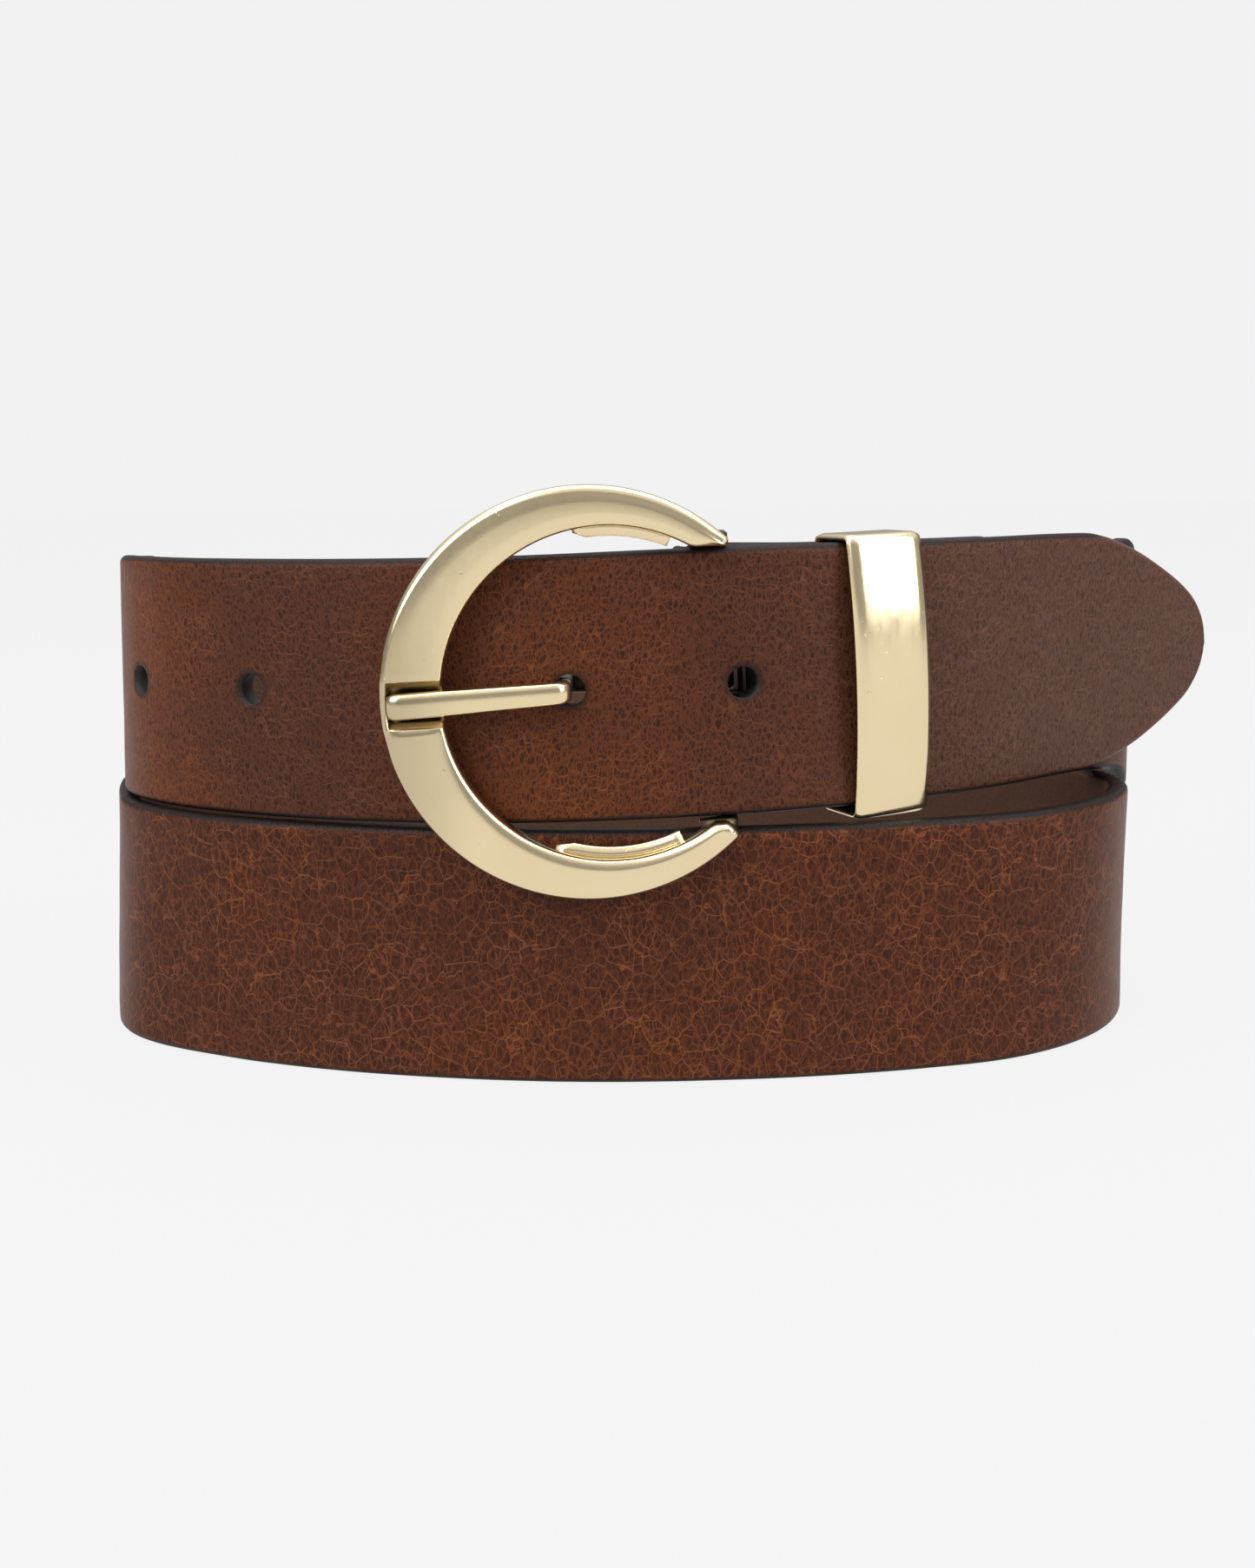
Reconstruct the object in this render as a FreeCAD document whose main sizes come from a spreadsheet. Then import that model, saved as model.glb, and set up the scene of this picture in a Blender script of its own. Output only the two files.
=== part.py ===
import FreeCAD, Part
import math
import os

import Sketcher

Vector = FreeCAD.Vector
Rotation = FreeCAD.Rotation
Placement = FreeCAD.Placement

# A leather belt buckled and coiled in two turns, standing on its lower edge.
# +X runs to the right along the front, +Y runs to the back and +Z is up.  The origin lies on the
# table, in the middle of the lower turn's bottom edge, at the middle of the front.
# Lengths are in millimetres and angles in degrees.

DIMENSIONS = [
    # strap
    ("strap_width", 40.0),
    ("strap_thick", 3.5),
    ("hole_radius", 2.4),
    ("hole_pitch", 25.4),
    ("used_hole_back", 12.8),      # used hole, behind the billet's foremost point along the strap
    ("tip_taper", 37.0),
    ("tip_shoulder_half", 15.4),
    ("tip_nose_half", 8.2),
    ("tip_nose_length", 3.5),
    ("tip_straight", 51.5),
    ("tip_height", 41.4),          # bottom edge of the strap at its tip
    # places of the two turns
    ("lower_front_x", 2.2),
    ("billet_front_x", 4.5),
    ("billet_front_y", -3.56),     # outer face of the billet at its foremost point
    ("layer_gap", 0.43),           # air between the billet and the strap under it
    # buckle: measured from the bar's axis, in the plane of the ring
    ("bar_x", 13.5),
    ("bar_height", 62.2),
    ("bar_radius", 1.75),
    ("bar_heading", 10.0),          # direction of the strap where it leaves the bar
    ("buckle_roll", 2.25),
    ("ring_outer_radius", 30.6),
    ("ring_outer_back", 18.8),
    ("ring_inner_radius", 24.6),
    ("ring_inner_back", 15.7),
    ("ring_thick", 4.0),
    ("ring_front_round", 1.1),
    ("ring_back_round", 0.5),
    ("ring_drop", 0.7),            # middle of the ring below the middle of the bar
    ("ring_to_bar", 8.9),          # back face of the ring to the bar's axis
    ("arm_gap_half", 20.6),
    ("arm_end", 2.0),
    ("rail_depth", 2.0),
    ("rail_thick", 1.4),
    ("rail_left", -23.6),
    ("rail_right", -6.5),
    ("notch_half", 3.5),
    ("notch_depth", 2.2),
    ("notch_rim", 1.0),
    ("lug_inner_half", 20.4),
    ("lug_thick", 1.5),
    ("lug_half_width", 3.0),
    ("lug_reach", 2.6),
    # prong
    ("prong_height", 3.6),
    ("prong_lower", 0.35),         # middle of the prong below the middle of the bar
    ("prong_thick", 2.6),
    ("prong_shank", 2.8),
    ("prong_drop_width", 2.4),
    ("prong_drop_left", 23.4),
    ("prong_tip_left", 48.0),
    ("prong_front_back", 10.8),
    ("prong_eye_radius", 3.3),
    ("prong_round", 0.8),
    ("running_gap", 0.08),
    ("prong_slot_half", 2.5),
    ("prong_slot_right", 4.3),
    # fold of the strap round the bar, and the turned-back tab
    ("fold_clear", 0.05),
    ("fold_turn", 105.0),
    ("fold_lap", 15.0),
    ("skive_gap", 0.05),
    ("leg_length", 3.0),
    ("tab_gap", 3.0),
    ("tab_settle", 4.0),
    ("tab_length", 57.0),
    # press studs
    ("stud_near", 11.6),
    ("stud_far", 50.0),
    ("post_head_radius", 4.2),
    ("post_head_thick", 0.9),
    ("post_radius", 1.4),
    ("stud_base_thick", 0.6),
    ("stud_base_radius", 4.0),
    ("stud_ball_radius", 2.0),
    ("stud_ball_height", 1.7),
    ("socket_radius", 4.2),
    ("socket_bore_radius", 2.6),
    ("socket_thick", 1.2),
    ("cap_radius", 5.5),
    ("cap_thick", 1.6),
    ("hardware_gap", 0.05),
    ("stud_seat_gap", 0.2),        # flat pieces against the hollow side of the bent leather
    ("cap_seat_gap", 0.5),
    # keeper
    ("keeper_heading", 24.9),
    ("keeper_width", 13.0),
    ("keeper_wall", 0.95),
    ("keeper_inner_half", 20.7),
    ("keeper_front_gap", 0.35),
    ("keeper_back_gap", 0.32),
    ("keeper_bow", 1.6),           # how far the middle of the front wall stands off its ends
    ("keeper_height", 62.05),
    ("keeper_roll", 1.5),
    ("keeper_corner", 1.5),
]

doc = FreeCAD.newDocument("leather_belt")
sheet = doc.addObject("Spreadsheet::Sheet", "dims")
for row, (alias, value) in enumerate(DIMENSIONS, start=1):
    sheet.set(f"A{row}", alias)
    sheet.set(f"B{row}", str(value))
    sheet.setAlias(f"B{row}", alias)
doc.recompute()


def dim(alias):
    return float(sheet.get(alias))


NAMES = {alias for alias, value in DIMENSIONS}


def amount(formula):
    """Value of a sum of sheet names and numbers, such as "ring_thick + 0.5*arm_end - 2"."""
    total = 0.0
    sign = 1
    for token in formula.split():
        if token in ("+", "-"):
            sign = 1 if token == "+" else -1
            continue
        factor, star, name = token.rpartition("*")
        total += sign * (float(factor) if star else 1.0) * (dim(name) if name in NAMES else float(name))
    return total


def expression(formula):
    """The same sum written for the document."""
    words = []
    for token in formula.split():
        factor, star, name = token.rpartition("*")
        words.append(factor + star + ("dims." + name if name in NAMES else name))
    return " ".join(words)


def bind(obj, prop, formula):
    obj.setExpression(prop, expression(formula))


# ---------------------------------------------------------------------------------------------
# The strap's course in plan.  A run is (radius, turn) for an arc that turns left, or (length, 0)
# for a straight.  The heading is the direction of travel: 0 along +X at the front, 90 at the
# right end, 180 along the back, 270 at the left end, and so on through the second turn.
# Radii are those of the outer face.
# ---------------------------------------------------------------------------------------------
LOWER_FRONT_LEFT = [(10.0, 0), (20.0, 18), (30.0, 20), (84.0, 15), (174.0, 20)]    # 287 to 360
LOWER_FRONT_RIGHT = [(199.5, 15), (50.0, 20), (43.0, 20), (34.0, 19), (20.0, 46)]  # 360 to 480
UPPER_LEFT = [(40.0, 16.5), (27.5, 23.5), (52.0, 20), (110.0, 12), (160.0, 18)]    # 630 to 720
BILLET_RIGHT = [(76.0, 20), (110.0, 22)]                                           # 720 to 762
UNDER_STRAIGHT = 24.7
UNDER_BEND = (31.8, 48)                                                            # 42 to 90
BACK_RIGHT_TURN = {"outer": 80, "inner": 50}                                       # 90 or 120 to 170
BACK_RUNS = {"outer": (385.0, 20), "inner": (330.0, 20)}                           # 170 to 190
BACK_LEFT_TURN = {"outer": 97, "inner": 80}                                        # 190 to 287 or 270
KEEPER_ARC_START = 20
KEEPER_ARC_END = 42
STATION_STEP = 3.0
SPAN_STATIONS = 16

# Height of the strap's bottom edge where it passes certain headings.
HEIGHTS = [
    (10, 42.2), (20, 42.0), (42, 41.85), (54, 40.15), (74.5, 36.2), (90, 33.6), (235, -0.2), (360, -0.2),
    (490, -0.2), (610, 38.2), (622, 40.15), (646.5, 40.2), (668, 40.25), (690, 40.35), (702, 40.5),
    (711, 40.9), (720, 41.75), (727, 42.05), (740, 42.3), (762, 42.3),
]

# Degrees by which the strap's upper edge leans into the coil where it passes certain headings.
BANKS = [(255, 0.0), (283, 3.2), (305, 3.2), (335, 0.0), (612, 0.0), (636, 2.0), (665, 2.0), (690, 0.0)]


def run_vector(heading, radius, turn):
    """Plan displacement of one run that starts at a heading."""
    if turn == 0:
        return Vector(math.cos(math.radians(heading)), math.sin(math.radians(heading)), 0) * radius
    first = math.radians(heading)
    last = math.radians(heading + turn)
    return Vector(math.sin(last) - math.sin(first), math.cos(first) - math.cos(last), 0) * radius


def runs_vector(heading, runs):
    total = Vector()
    for radius, turn in runs:
        total += run_vector(heading, radius, turn)
        heading += turn
    return total


def inset(runs, depth):
    """The same runs for a line that lies a depth inside the outer face."""
    return [(radius - depth if turn else radius, turn) for radius, turn in runs]


def closing_radii(gap, heading, first_turn, back_run, last_turn):
    """Radii of the two back corners that join two ends of the strap, whose headings are known."""
    unit_first = run_vector(heading, 1.0, first_turn)
    middle = run_vector(heading + first_turn, *back_run)
    unit_last = run_vector(heading + first_turn + back_run[1], 1.0, last_turn)
    rest = gap - middle
    det = unit_first.x * unit_last.y - unit_first.y * unit_last.x
    first = (rest.x * unit_last.y - rest.y * unit_last.x) / det
    last = (unit_first.x * rest.y - unit_first.y * rest.x) / det
    return first, last


def slope_at(points, i):
    """Slope through one of some points that never overshoots its neighbours."""
    if i in (0, len(points) - 1):
        return 0.0
    before = (points[i][1] - points[i - 1][1]) / (points[i][0] - points[i - 1][0])
    after = (points[i + 1][1] - points[i][1]) / (points[i + 1][0] - points[i][0])
    if before * after <= 0:
        return 0.0
    return 2 * before * after / (before + after)


def smooth_value(points, x):
    """Value at x of a smooth curve through points."""
    x = min(max(x, points[0][0]), points[-1][0])
    i = max(k for k in range(len(points) - 1) if points[k][0] <= x)
    (x0, y0), (x1, y1) = points[i], points[i + 1]
    span = x1 - x0
    u = (x - x0) / span
    m0 = slope_at(points, i) * span
    m1 = slope_at(points, i + 1) * span
    return ((2 * u**3 - 3 * u**2 + 1) * y0 + (u**3 - 2 * u**2 + u) * m0
            + (3 * u**2 - 2 * u**3) * y1 + (u**3 - u**2) * m1)


def stations(start, heading, runs):
    """Stations (plan point, heading, length from the start) along some runs."""
    point = Vector(start)
    travelled = 0.0
    made = [(Vector(point), heading, 0.0)]
    for radius, turn in runs:
        length = abs(math.radians(turn)) * abs(radius) if turn else radius
        pieces = max(2, math.ceil(length / STATION_STEP), math.ceil(abs(turn) / 6))
        for k in range(1, pieces + 1):
            if turn:
                here = point + run_vector(heading, radius, turn * k / pieces)
            else:
                here = point + run_vector(heading, radius * k / pieces, 0)
            made.append((here, heading + turn * k / pieces, travelled + length * k / pieces))
        point = made[-1][0]
        heading += turn
        travelled += length
    return made


def along(heading):
    return Vector(math.cos(math.radians(heading)), math.sin(math.radians(heading)), 0)


def inward(heading):
    return Vector(-math.sin(math.radians(heading)), math.cos(math.radians(heading)), 0)


# ---------------------------------------------------------------------------------------------
# Leather strips: ruled faces between four edge curves.
# ---------------------------------------------------------------------------------------------
def edge_curve(points, parameters):
    curve = Part.BSplineCurve()
    curve.interpolate(Points=points, Parameters=parameters)
    return curve


def strip(sections, lengths):
    """Solid strip through sections, each four corners: outer bottom, outer top, inner top, inner bottom.
    Its long faces are made in spans."""
    curves = [edge_curve([s[k] for s in sections], lengths) for k in range(4)]
    breaks = lengths[:-SPAN_STATIONS // 2:SPAN_STATIONS] + [lengths[-1]]
    faces = []
    for first, last in zip(breaks, breaks[1:]):
        edges = [curve.toShape(first, last) for curve in curves]
        faces += [Part.makeRuledSurface(edges[k], edges[(k + 1) % 4]) for k in range(4)]
    for section in (sections[0], sections[-1]):
        faces.append(Part.Face(Part.makePolygon(list(section) + [section[0]])))
    shell = Part.makeShell(faces)
    shell.sewShape()
    solid = Part.Solid(shell)
    if solid.Volume < 0:
        solid.reverse()
    return solid


def section(centre, heading, half_height, half_thick, lean=0.0, bank=0.0):
    """Corners of the cross-section.  Lean tips its upper edge back along the strap, bank into the coil."""
    up = Vector(0, 0, 1) * math.cos(math.radians(lean)) - along(heading) * math.sin(math.radians(lean))
    tilt = math.radians(bank)
    side = (inward(heading) * math.cos(tilt) - up * math.sin(tilt)) * half_thick
    up = (up * math.cos(tilt) + inward(heading) * math.sin(tilt)) * half_height
    return (centre - side - up, centre - side + up, centre + side + up, centre + side - up)


def part_feature(name, shape):
    feature = doc.addObject("Part::Feature", name)
    feature.Label = name
    feature.Shape = shape
    return feature


FOLD_DROP = -0.1
WIDTH = dim("strap_width")
THICK = dim("strap_thick")
HALF = THICK / 2

# Places shared by the strap, the tab and the hardware.
billet_front = Vector(dim("billet_front_x"), dim("billet_front_y"), 0)
under_inset = THICK + dim("layer_gap")
bar_heading = dim("bar_heading")
bar_roll = dim("buckle_roll")
fold_inner = dim("bar_radius") + dim("fold_clear")
fold_mid = fold_inner + HALF
fold_outer = fold_inner + THICK

# The strap under the billet is concentric with it.  The bar lies on the inner side of that strap.
leg_end = billet_front + inward(0) * (under_inset + HALF)
leg_end += run_vector(0, BILLET_RIGHT[0][0] - under_inset - HALF, bar_heading)
under_start = leg_end - along(bar_heading) * dim("leg_length")
bar_plan = under_start + inward(bar_heading) * fold_mid
bar_centre = Vector(bar_plan.x, bar_plan.y, dim("bar_height"))


def bar_frame(yaw):
    """Placement whose local z is the bar's axis.  Yaw turns its local x in plan."""
    return Placement(bar_centre, Rotation(bar_heading, -bar_roll, 0) * Rotation(yaw, 0, 0))


fold_frame = bar_frame(0)
ring_frame = bar_frame(-bar_heading)


def strap_course():
    """Stations of the whole strap's middle line from the bar to the tip."""
    front = [(BILLET_RIGHT[0][0] - under_inset, KEEPER_ARC_START - bar_heading),
             (BILLET_RIGHT[1][0] - under_inset, KEEPER_ARC_END - KEEPER_ARC_START)]
    lead = inset(front, HALF) + [(UNDER_STRAIGHT, 0)] + inset([UNDER_BEND], HALF)
    lower_front = Vector(dim("lower_front_x"), 0, 0)
    lower_left = inset(LOWER_FRONT_LEFT, HALF)
    lower_right = inset(LOWER_FRONT_RIGHT, HALF)
    upper_left = inset(UPPER_LEFT, HALF)
    billet_middle = billet_front + Vector(0, HALF, 0)

    outer_from = leg_end + runs_vector(bar_heading, lead)
    outer_to = lower_front - runs_vector(287, lower_left)
    outer = closing_radii(outer_to - outer_from, 90, BACK_RIGHT_TURN["outer"], BACK_RUNS["outer"],
                          BACK_LEFT_TURN["outer"])
    inner_from = lower_front + runs_vector(0, lower_right)
    inner_to = billet_middle - runs_vector(270, upper_left)
    inner = closing_radii(inner_to - inner_from, 120, BACK_RIGHT_TURN["inner"], BACK_RUNS["inner"],
                          BACK_LEFT_TURN["inner"])

    runs = list(lead)
    runs += [(outer[0], BACK_RIGHT_TURN["outer"]), BACK_RUNS["outer"], (outer[1], BACK_LEFT_TURN["outer"])]
    runs += lower_left + lower_right
    runs += [(inner[0], BACK_RIGHT_TURN["inner"]), BACK_RUNS["inner"], (inner[1], BACK_LEFT_TURN["inner"])]
    runs += upper_left + inset(BILLET_RIGHT, HALF) + [(dim("tip_straight"), 0)]
    return stations(leg_end, bar_heading, runs)


COURSE = strap_course()


def course_length(heading):
    """Length along the course to the first station with a heading."""
    return next(s for p, h, s in COURSE if h >= heading - 1e-6)


HEIGHT_POINTS = [(course_length(heading), height) for heading, height in HEIGHTS]
HEIGHT_POINTS.append((COURSE[-1][2], dim("tip_height")))
BANK_POINTS = [(course_length(heading), bank) for heading, bank in BANKS]


def height_at(length):
    """Height of the strap's bottom edge at a length along the course."""
    return smooth_value(HEIGHT_POINTS, length)


def bank_at(length):
    return smooth_value(BANK_POINTS, length)


def lean_at(heading):
    """The strap leans with the bar at the fold, and stands upright from the keeper on."""
    return bar_roll * max(0.0, 1 - max(0.0, heading - bar_heading) / (KEEPER_ARC_START - bar_heading))


def course_section(i):
    """Cross-section of the strap at a station, as wide across the strap on a slope as on the level."""
    point, heading, length = COURSE[i]
    before = COURSE[max(i - 1, 0)]
    after = COURSE[min(i + 1, len(COURSE) - 1)]
    climb = (height_at(after[2]) - height_at(before[2])) / (after[2] - before[2])
    half_height = WIDTH / 2 * math.sqrt(1 + climb**2)
    centre = Vector(point.x, point.y, height_at(length) + WIDTH / 2)
    return section(centre, heading, half_height, HALF, lean_at(heading), bank_at(length))


def place_on_course(length):
    """Plan point, heading and bottom height of the strap's middle line at a length along it."""
    i = max(k for k in range(len(COURSE) - 1) if COURSE[k][2] <= length)
    (p0, h0, s0), (p1, h1, s1) = COURSE[i], COURSE[i + 1]
    u = (length - s0) / (s1 - s0)
    heading = h0 + (h1 - h0) * u
    if h1 == h0:
        point = p0 + (p1 - p0) * u
    else:
        radius = (s1 - s0) / math.radians(h1 - h0)
        point = p0 + run_vector(h0, radius, heading - h0)
    return point, heading, height_at(length)


def facing(point, heading, height):
    """Placement with its local z along the inward normal and its local x along the strap."""
    frame = Rotation(along(heading), Vector(0, 0, -1), inward(heading), "XZY")
    return Placement(Vector(point.x, point.y, height), frame)


def drill(shape, place, radius, low, high):
    tool = Part.makeCylinder(radius, high - low, Vector(0, 0, low), Vector(0, 0, 1))
    tool.Placement = place.multiply(tool.Placement)
    return shape.cut(tool)


fold_place = fold_frame.multiply(Placement(Vector(0, 0, FOLD_DROP), Rotation()))


def leg_sections(middle):
    """Cross-sections of the straight leg beside the bar, whose middle line is so far behind the bar."""
    made = []
    leg = dim("leg_length")
    for x in (0, leg / 2):
        corners = [Vector(x, middle + side * HALF, up * WIDTH / 2)
                   for side, up in ((-1, -1), (-1, 1), (1, 1), (1, -1))]
        made.append(tuple(fold_place.multVec(corner) for corner in corners))
    return made, [-leg, -leg / 2]


def fold_sector(inner, outer, first, last):
    """Part of the fold's bend round the bar.  Angles count from the under strap, round the left."""
    ring = Part.makeCylinder(outer, WIDTH, Vector(0, 0, -WIDTH / 2), Vector(0, 0, 1), last - first)
    ring = ring.cut(Part.makeCylinder(inner, WIDTH, Vector(0, 0, -WIDTH / 2)))
    ring.rotate(Vector(), Vector(0, 0, 1), -90 - last)
    return ring


def root_block(low, high):
    """Block that ties the bend to the leg it grows from, a little inside both."""
    inside = 0.05
    return Part.makeBox(1.0 + inside, high - low - 2 * inside, WIDTH - 2 * inside,
                        Vector(-inside, low + inside, inside - WIDTH / 2))


def slot_tool():
    half = dim("prong_slot_half")
    right = dim("prong_slot_right")
    reach = fold_outer + 1
    return Part.makeBox(reach + right, 2 * reach, 2 * half, Vector(-reach, -reach, -half))


def tip_tool():
    """What is cut off the square end of the strap to leave its rounded point."""
    taper = dim("tip_taper")
    nose = dim("tip_nose_length")
    top = WIDTH / 2 + 1
    corner = Vector(-taper, WIDTH / 2, 0)
    shoulder = Vector(-taper / 2, dim("tip_shoulder_half"), 0)
    nose_start = Vector(-nose, dim("tip_nose_half"), 0)
    mirrored = [Vector(v.x, -v.y, 0) for v in (corner, shoulder, nose_start)]
    outline = [
        Part.Arc(corner, shoulder, nose_start).toShape(),
        Part.Arc(nose_start, Vector(), mirrored[2]).toShape(),
        Part.Arc(mirrored[2], mirrored[1], mirrored[0]).toShape(),
        Part.makePolygon([mirrored[0], Vector(-taper, -top, 0), Vector(2, -top, 0),
                          Vector(2, top, 0), Vector(-taper, top, 0), corner]),
    ]
    edges = [e for shape in outline for e in shape.Edges]
    face = Part.Face(Part.Wire(Part.__sortEdges__(edges)))
    return face.extrude(Vector(0, 0, 2 * THICK + HALF + dim("layer_gap") / 2))


def stud_places():
    """Placements of the two press studs: on the outer face of the under strap, local z inward."""
    made = []
    leg = dim("leg_length")
    for length in (dim("stud_near"), dim("stud_far")):
        point, heading, height = place_on_course(length - leg)
        made.append(facing(point - inward(heading) * HALF, heading, height + WIDTH / 2))
    return made


def build_strap():
    leg, leg_lengths = leg_sections(-fold_mid)
    sections = leg + [course_section(i) for i in range(len(COURSE))]
    body = strip(sections, leg_lengths + [length for point, heading, length in COURSE])
    # the bend, pared to its outer half, that wraps the bar
    pared = fold_mid + dim("skive_gap") / 2
    bend = fold_sector(pared, fold_outer, 0, dim("fold_turn")).fuse(root_block(-fold_outer, -pared))
    bend.Placement = fold_place
    tool = slot_tool()
    tool.Placement = fold_frame
    strap = body.fuse(bend).cut(tool)
    # the punched holes: the prong goes through the second from the tip
    billet_start = course_length(720)
    used = billet_start - dim("used_hole_back")
    for count in (-3, -2, -1, 0, 1):
        point, heading, height = place_on_course(used + count * dim("hole_pitch"))
        place = facing(point, heading, height + WIDTH / 2)
        strap = drill(strap, place, dim("hole_radius"), -THICK, THICK)
    # seats of the press studs
    for place in stud_places():
        strap = drill(strap, place, dim("post_head_radius") + dim("hardware_gap"),
                      -1, dim("post_head_thick"))
        strap = drill(strap, place, dim("post_radius") + dim("hardware_gap"), -1, THICK + 1)
    # the edge that rests on the table is flat
    strap = strap.cut(Part.makeBox(300, 300, 10, Vector(-150, -150, -10)))
    point, heading, length = COURSE[-1]
    tip = tip_tool()
    tip.Placement = facing(point - inward(heading) * 2 * THICK, heading, height_at(length) + WIDTH / 2)
    return strap.cut(tip).Solids[0]


# ---------------------------------------------------------------------------------------------
# Sketched parts.
# ---------------------------------------------------------------------------------------------
def new_body(name, placement):
    body = doc.addObject("PartDesign::Body", name)
    body.Label = name
    body.Placement = placement
    return body


def new_sketch(body, name, plane, offset):
    """Sketch parallel to one of the body's own planes, moved out along that plane's normal."""
    sketch = body.newObject("Sketcher::SketchObject", name)
    origin_plane = next(f for f in body.Origin.OriginFeatures if f.Role == plane)
    sketch.AttachmentSupport = (origin_plane, [""])
    sketch.MapMode = "FlatFace"
    sketch.setExpression("AttachmentOffset.Base.z", expression(offset))
    return sketch


def hold(sketch, kind, geometry, value, formula):
    """Adds a dimension tied to the sheet."""
    index = sketch.addConstraint(Sketcher.Constraint(kind, *geometry, value))
    sketch.setExpression(f"Constraints[{index}]", expression(formula))


def draw_polygon(sketch, corners):
    """Closed outline.  Each corner is a pair of formulas."""
    points = [Vector(amount(u), amount(v), 0) for u, v in corners]
    first = sketch.GeometryCount
    count = len(points)
    for k in range(count):
        sketch.addGeometry(Part.LineSegment(points[k], points[(k + 1) % count]), False)
    for k in range(count):
        ends = (first + k, 2, first + (k + 1) % count, 1)
        sketch.addConstraint(Sketcher.Constraint("Coincident", *ends))
    for k, (u, v) in enumerate(corners):
        hold(sketch, "DistanceX", (-1, 1, first + k, 1), points[k].x, u)
        hold(sketch, "DistanceY", (-1, 1, first + k, 1), points[k].y, v)


def draw_rectangle(sketch, left, right, low, high):
    draw_polygon(sketch, [(left, low), (right, low), (right, high), (left, high)])


def draw_circle(sketch, centre_x, radius, centre_y="0"):
    circle = Part.Circle(Vector(amount(centre_x), amount(centre_y), 0), Vector(0, 0, 1), amount(radius))
    index = sketch.addGeometry(circle, False)
    hold(sketch, "Radius", (index,), amount(radius), radius)
    hold(sketch, "DistanceX", (-1, 1, index, 3), amount(centre_x), centre_x)
    hold(sketch, "DistanceY", (-1, 1, index, 3), amount(centre_y), centre_y)


def add_pad(body, sketch, length):
    pad = body.newObject("PartDesign::Pad", sketch.Name + "_pad")
    pad.Profile = sketch
    bind(pad, "Length", length)
    sketch.Visibility = False
    doc.recompute()
    return pad


def add_pocket(body, sketch, length):
    """Cuts from the sketch against its normal."""
    before = body.Shape.Volume
    pocket = body.newObject("PartDesign::Pocket", sketch.Name + "_pocket")
    pocket.Profile = sketch
    bind(pocket, "Length", length)
    sketch.Visibility = False
    doc.recompute()
    if body.Shape.Volume >= before - 1e-6:
        raise RuntimeError(sketch.Name + " cuts nothing")
    return pocket


def add_fillet(body, radius, wanted):
    """Rounds the edges of the body's present shape for which wanted(edge) holds."""
    base = body.Tip
    names = [f"Edge{k}" for k, edge in enumerate(base.Shape.Edges, start=1) if wanted(edge)]
    fillet = body.newObject("PartDesign::Fillet", base.Name + "_round")
    fillet.Base = (base, names)
    bind(fillet, "Radius", radius)
    doc.recompute()
    return fillet


def lies_at(edge, axis, value, slack=0.01):
    return all(abs(getattr(v.Point, axis) - value) < slack for v in edge.Vertexes)


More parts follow.
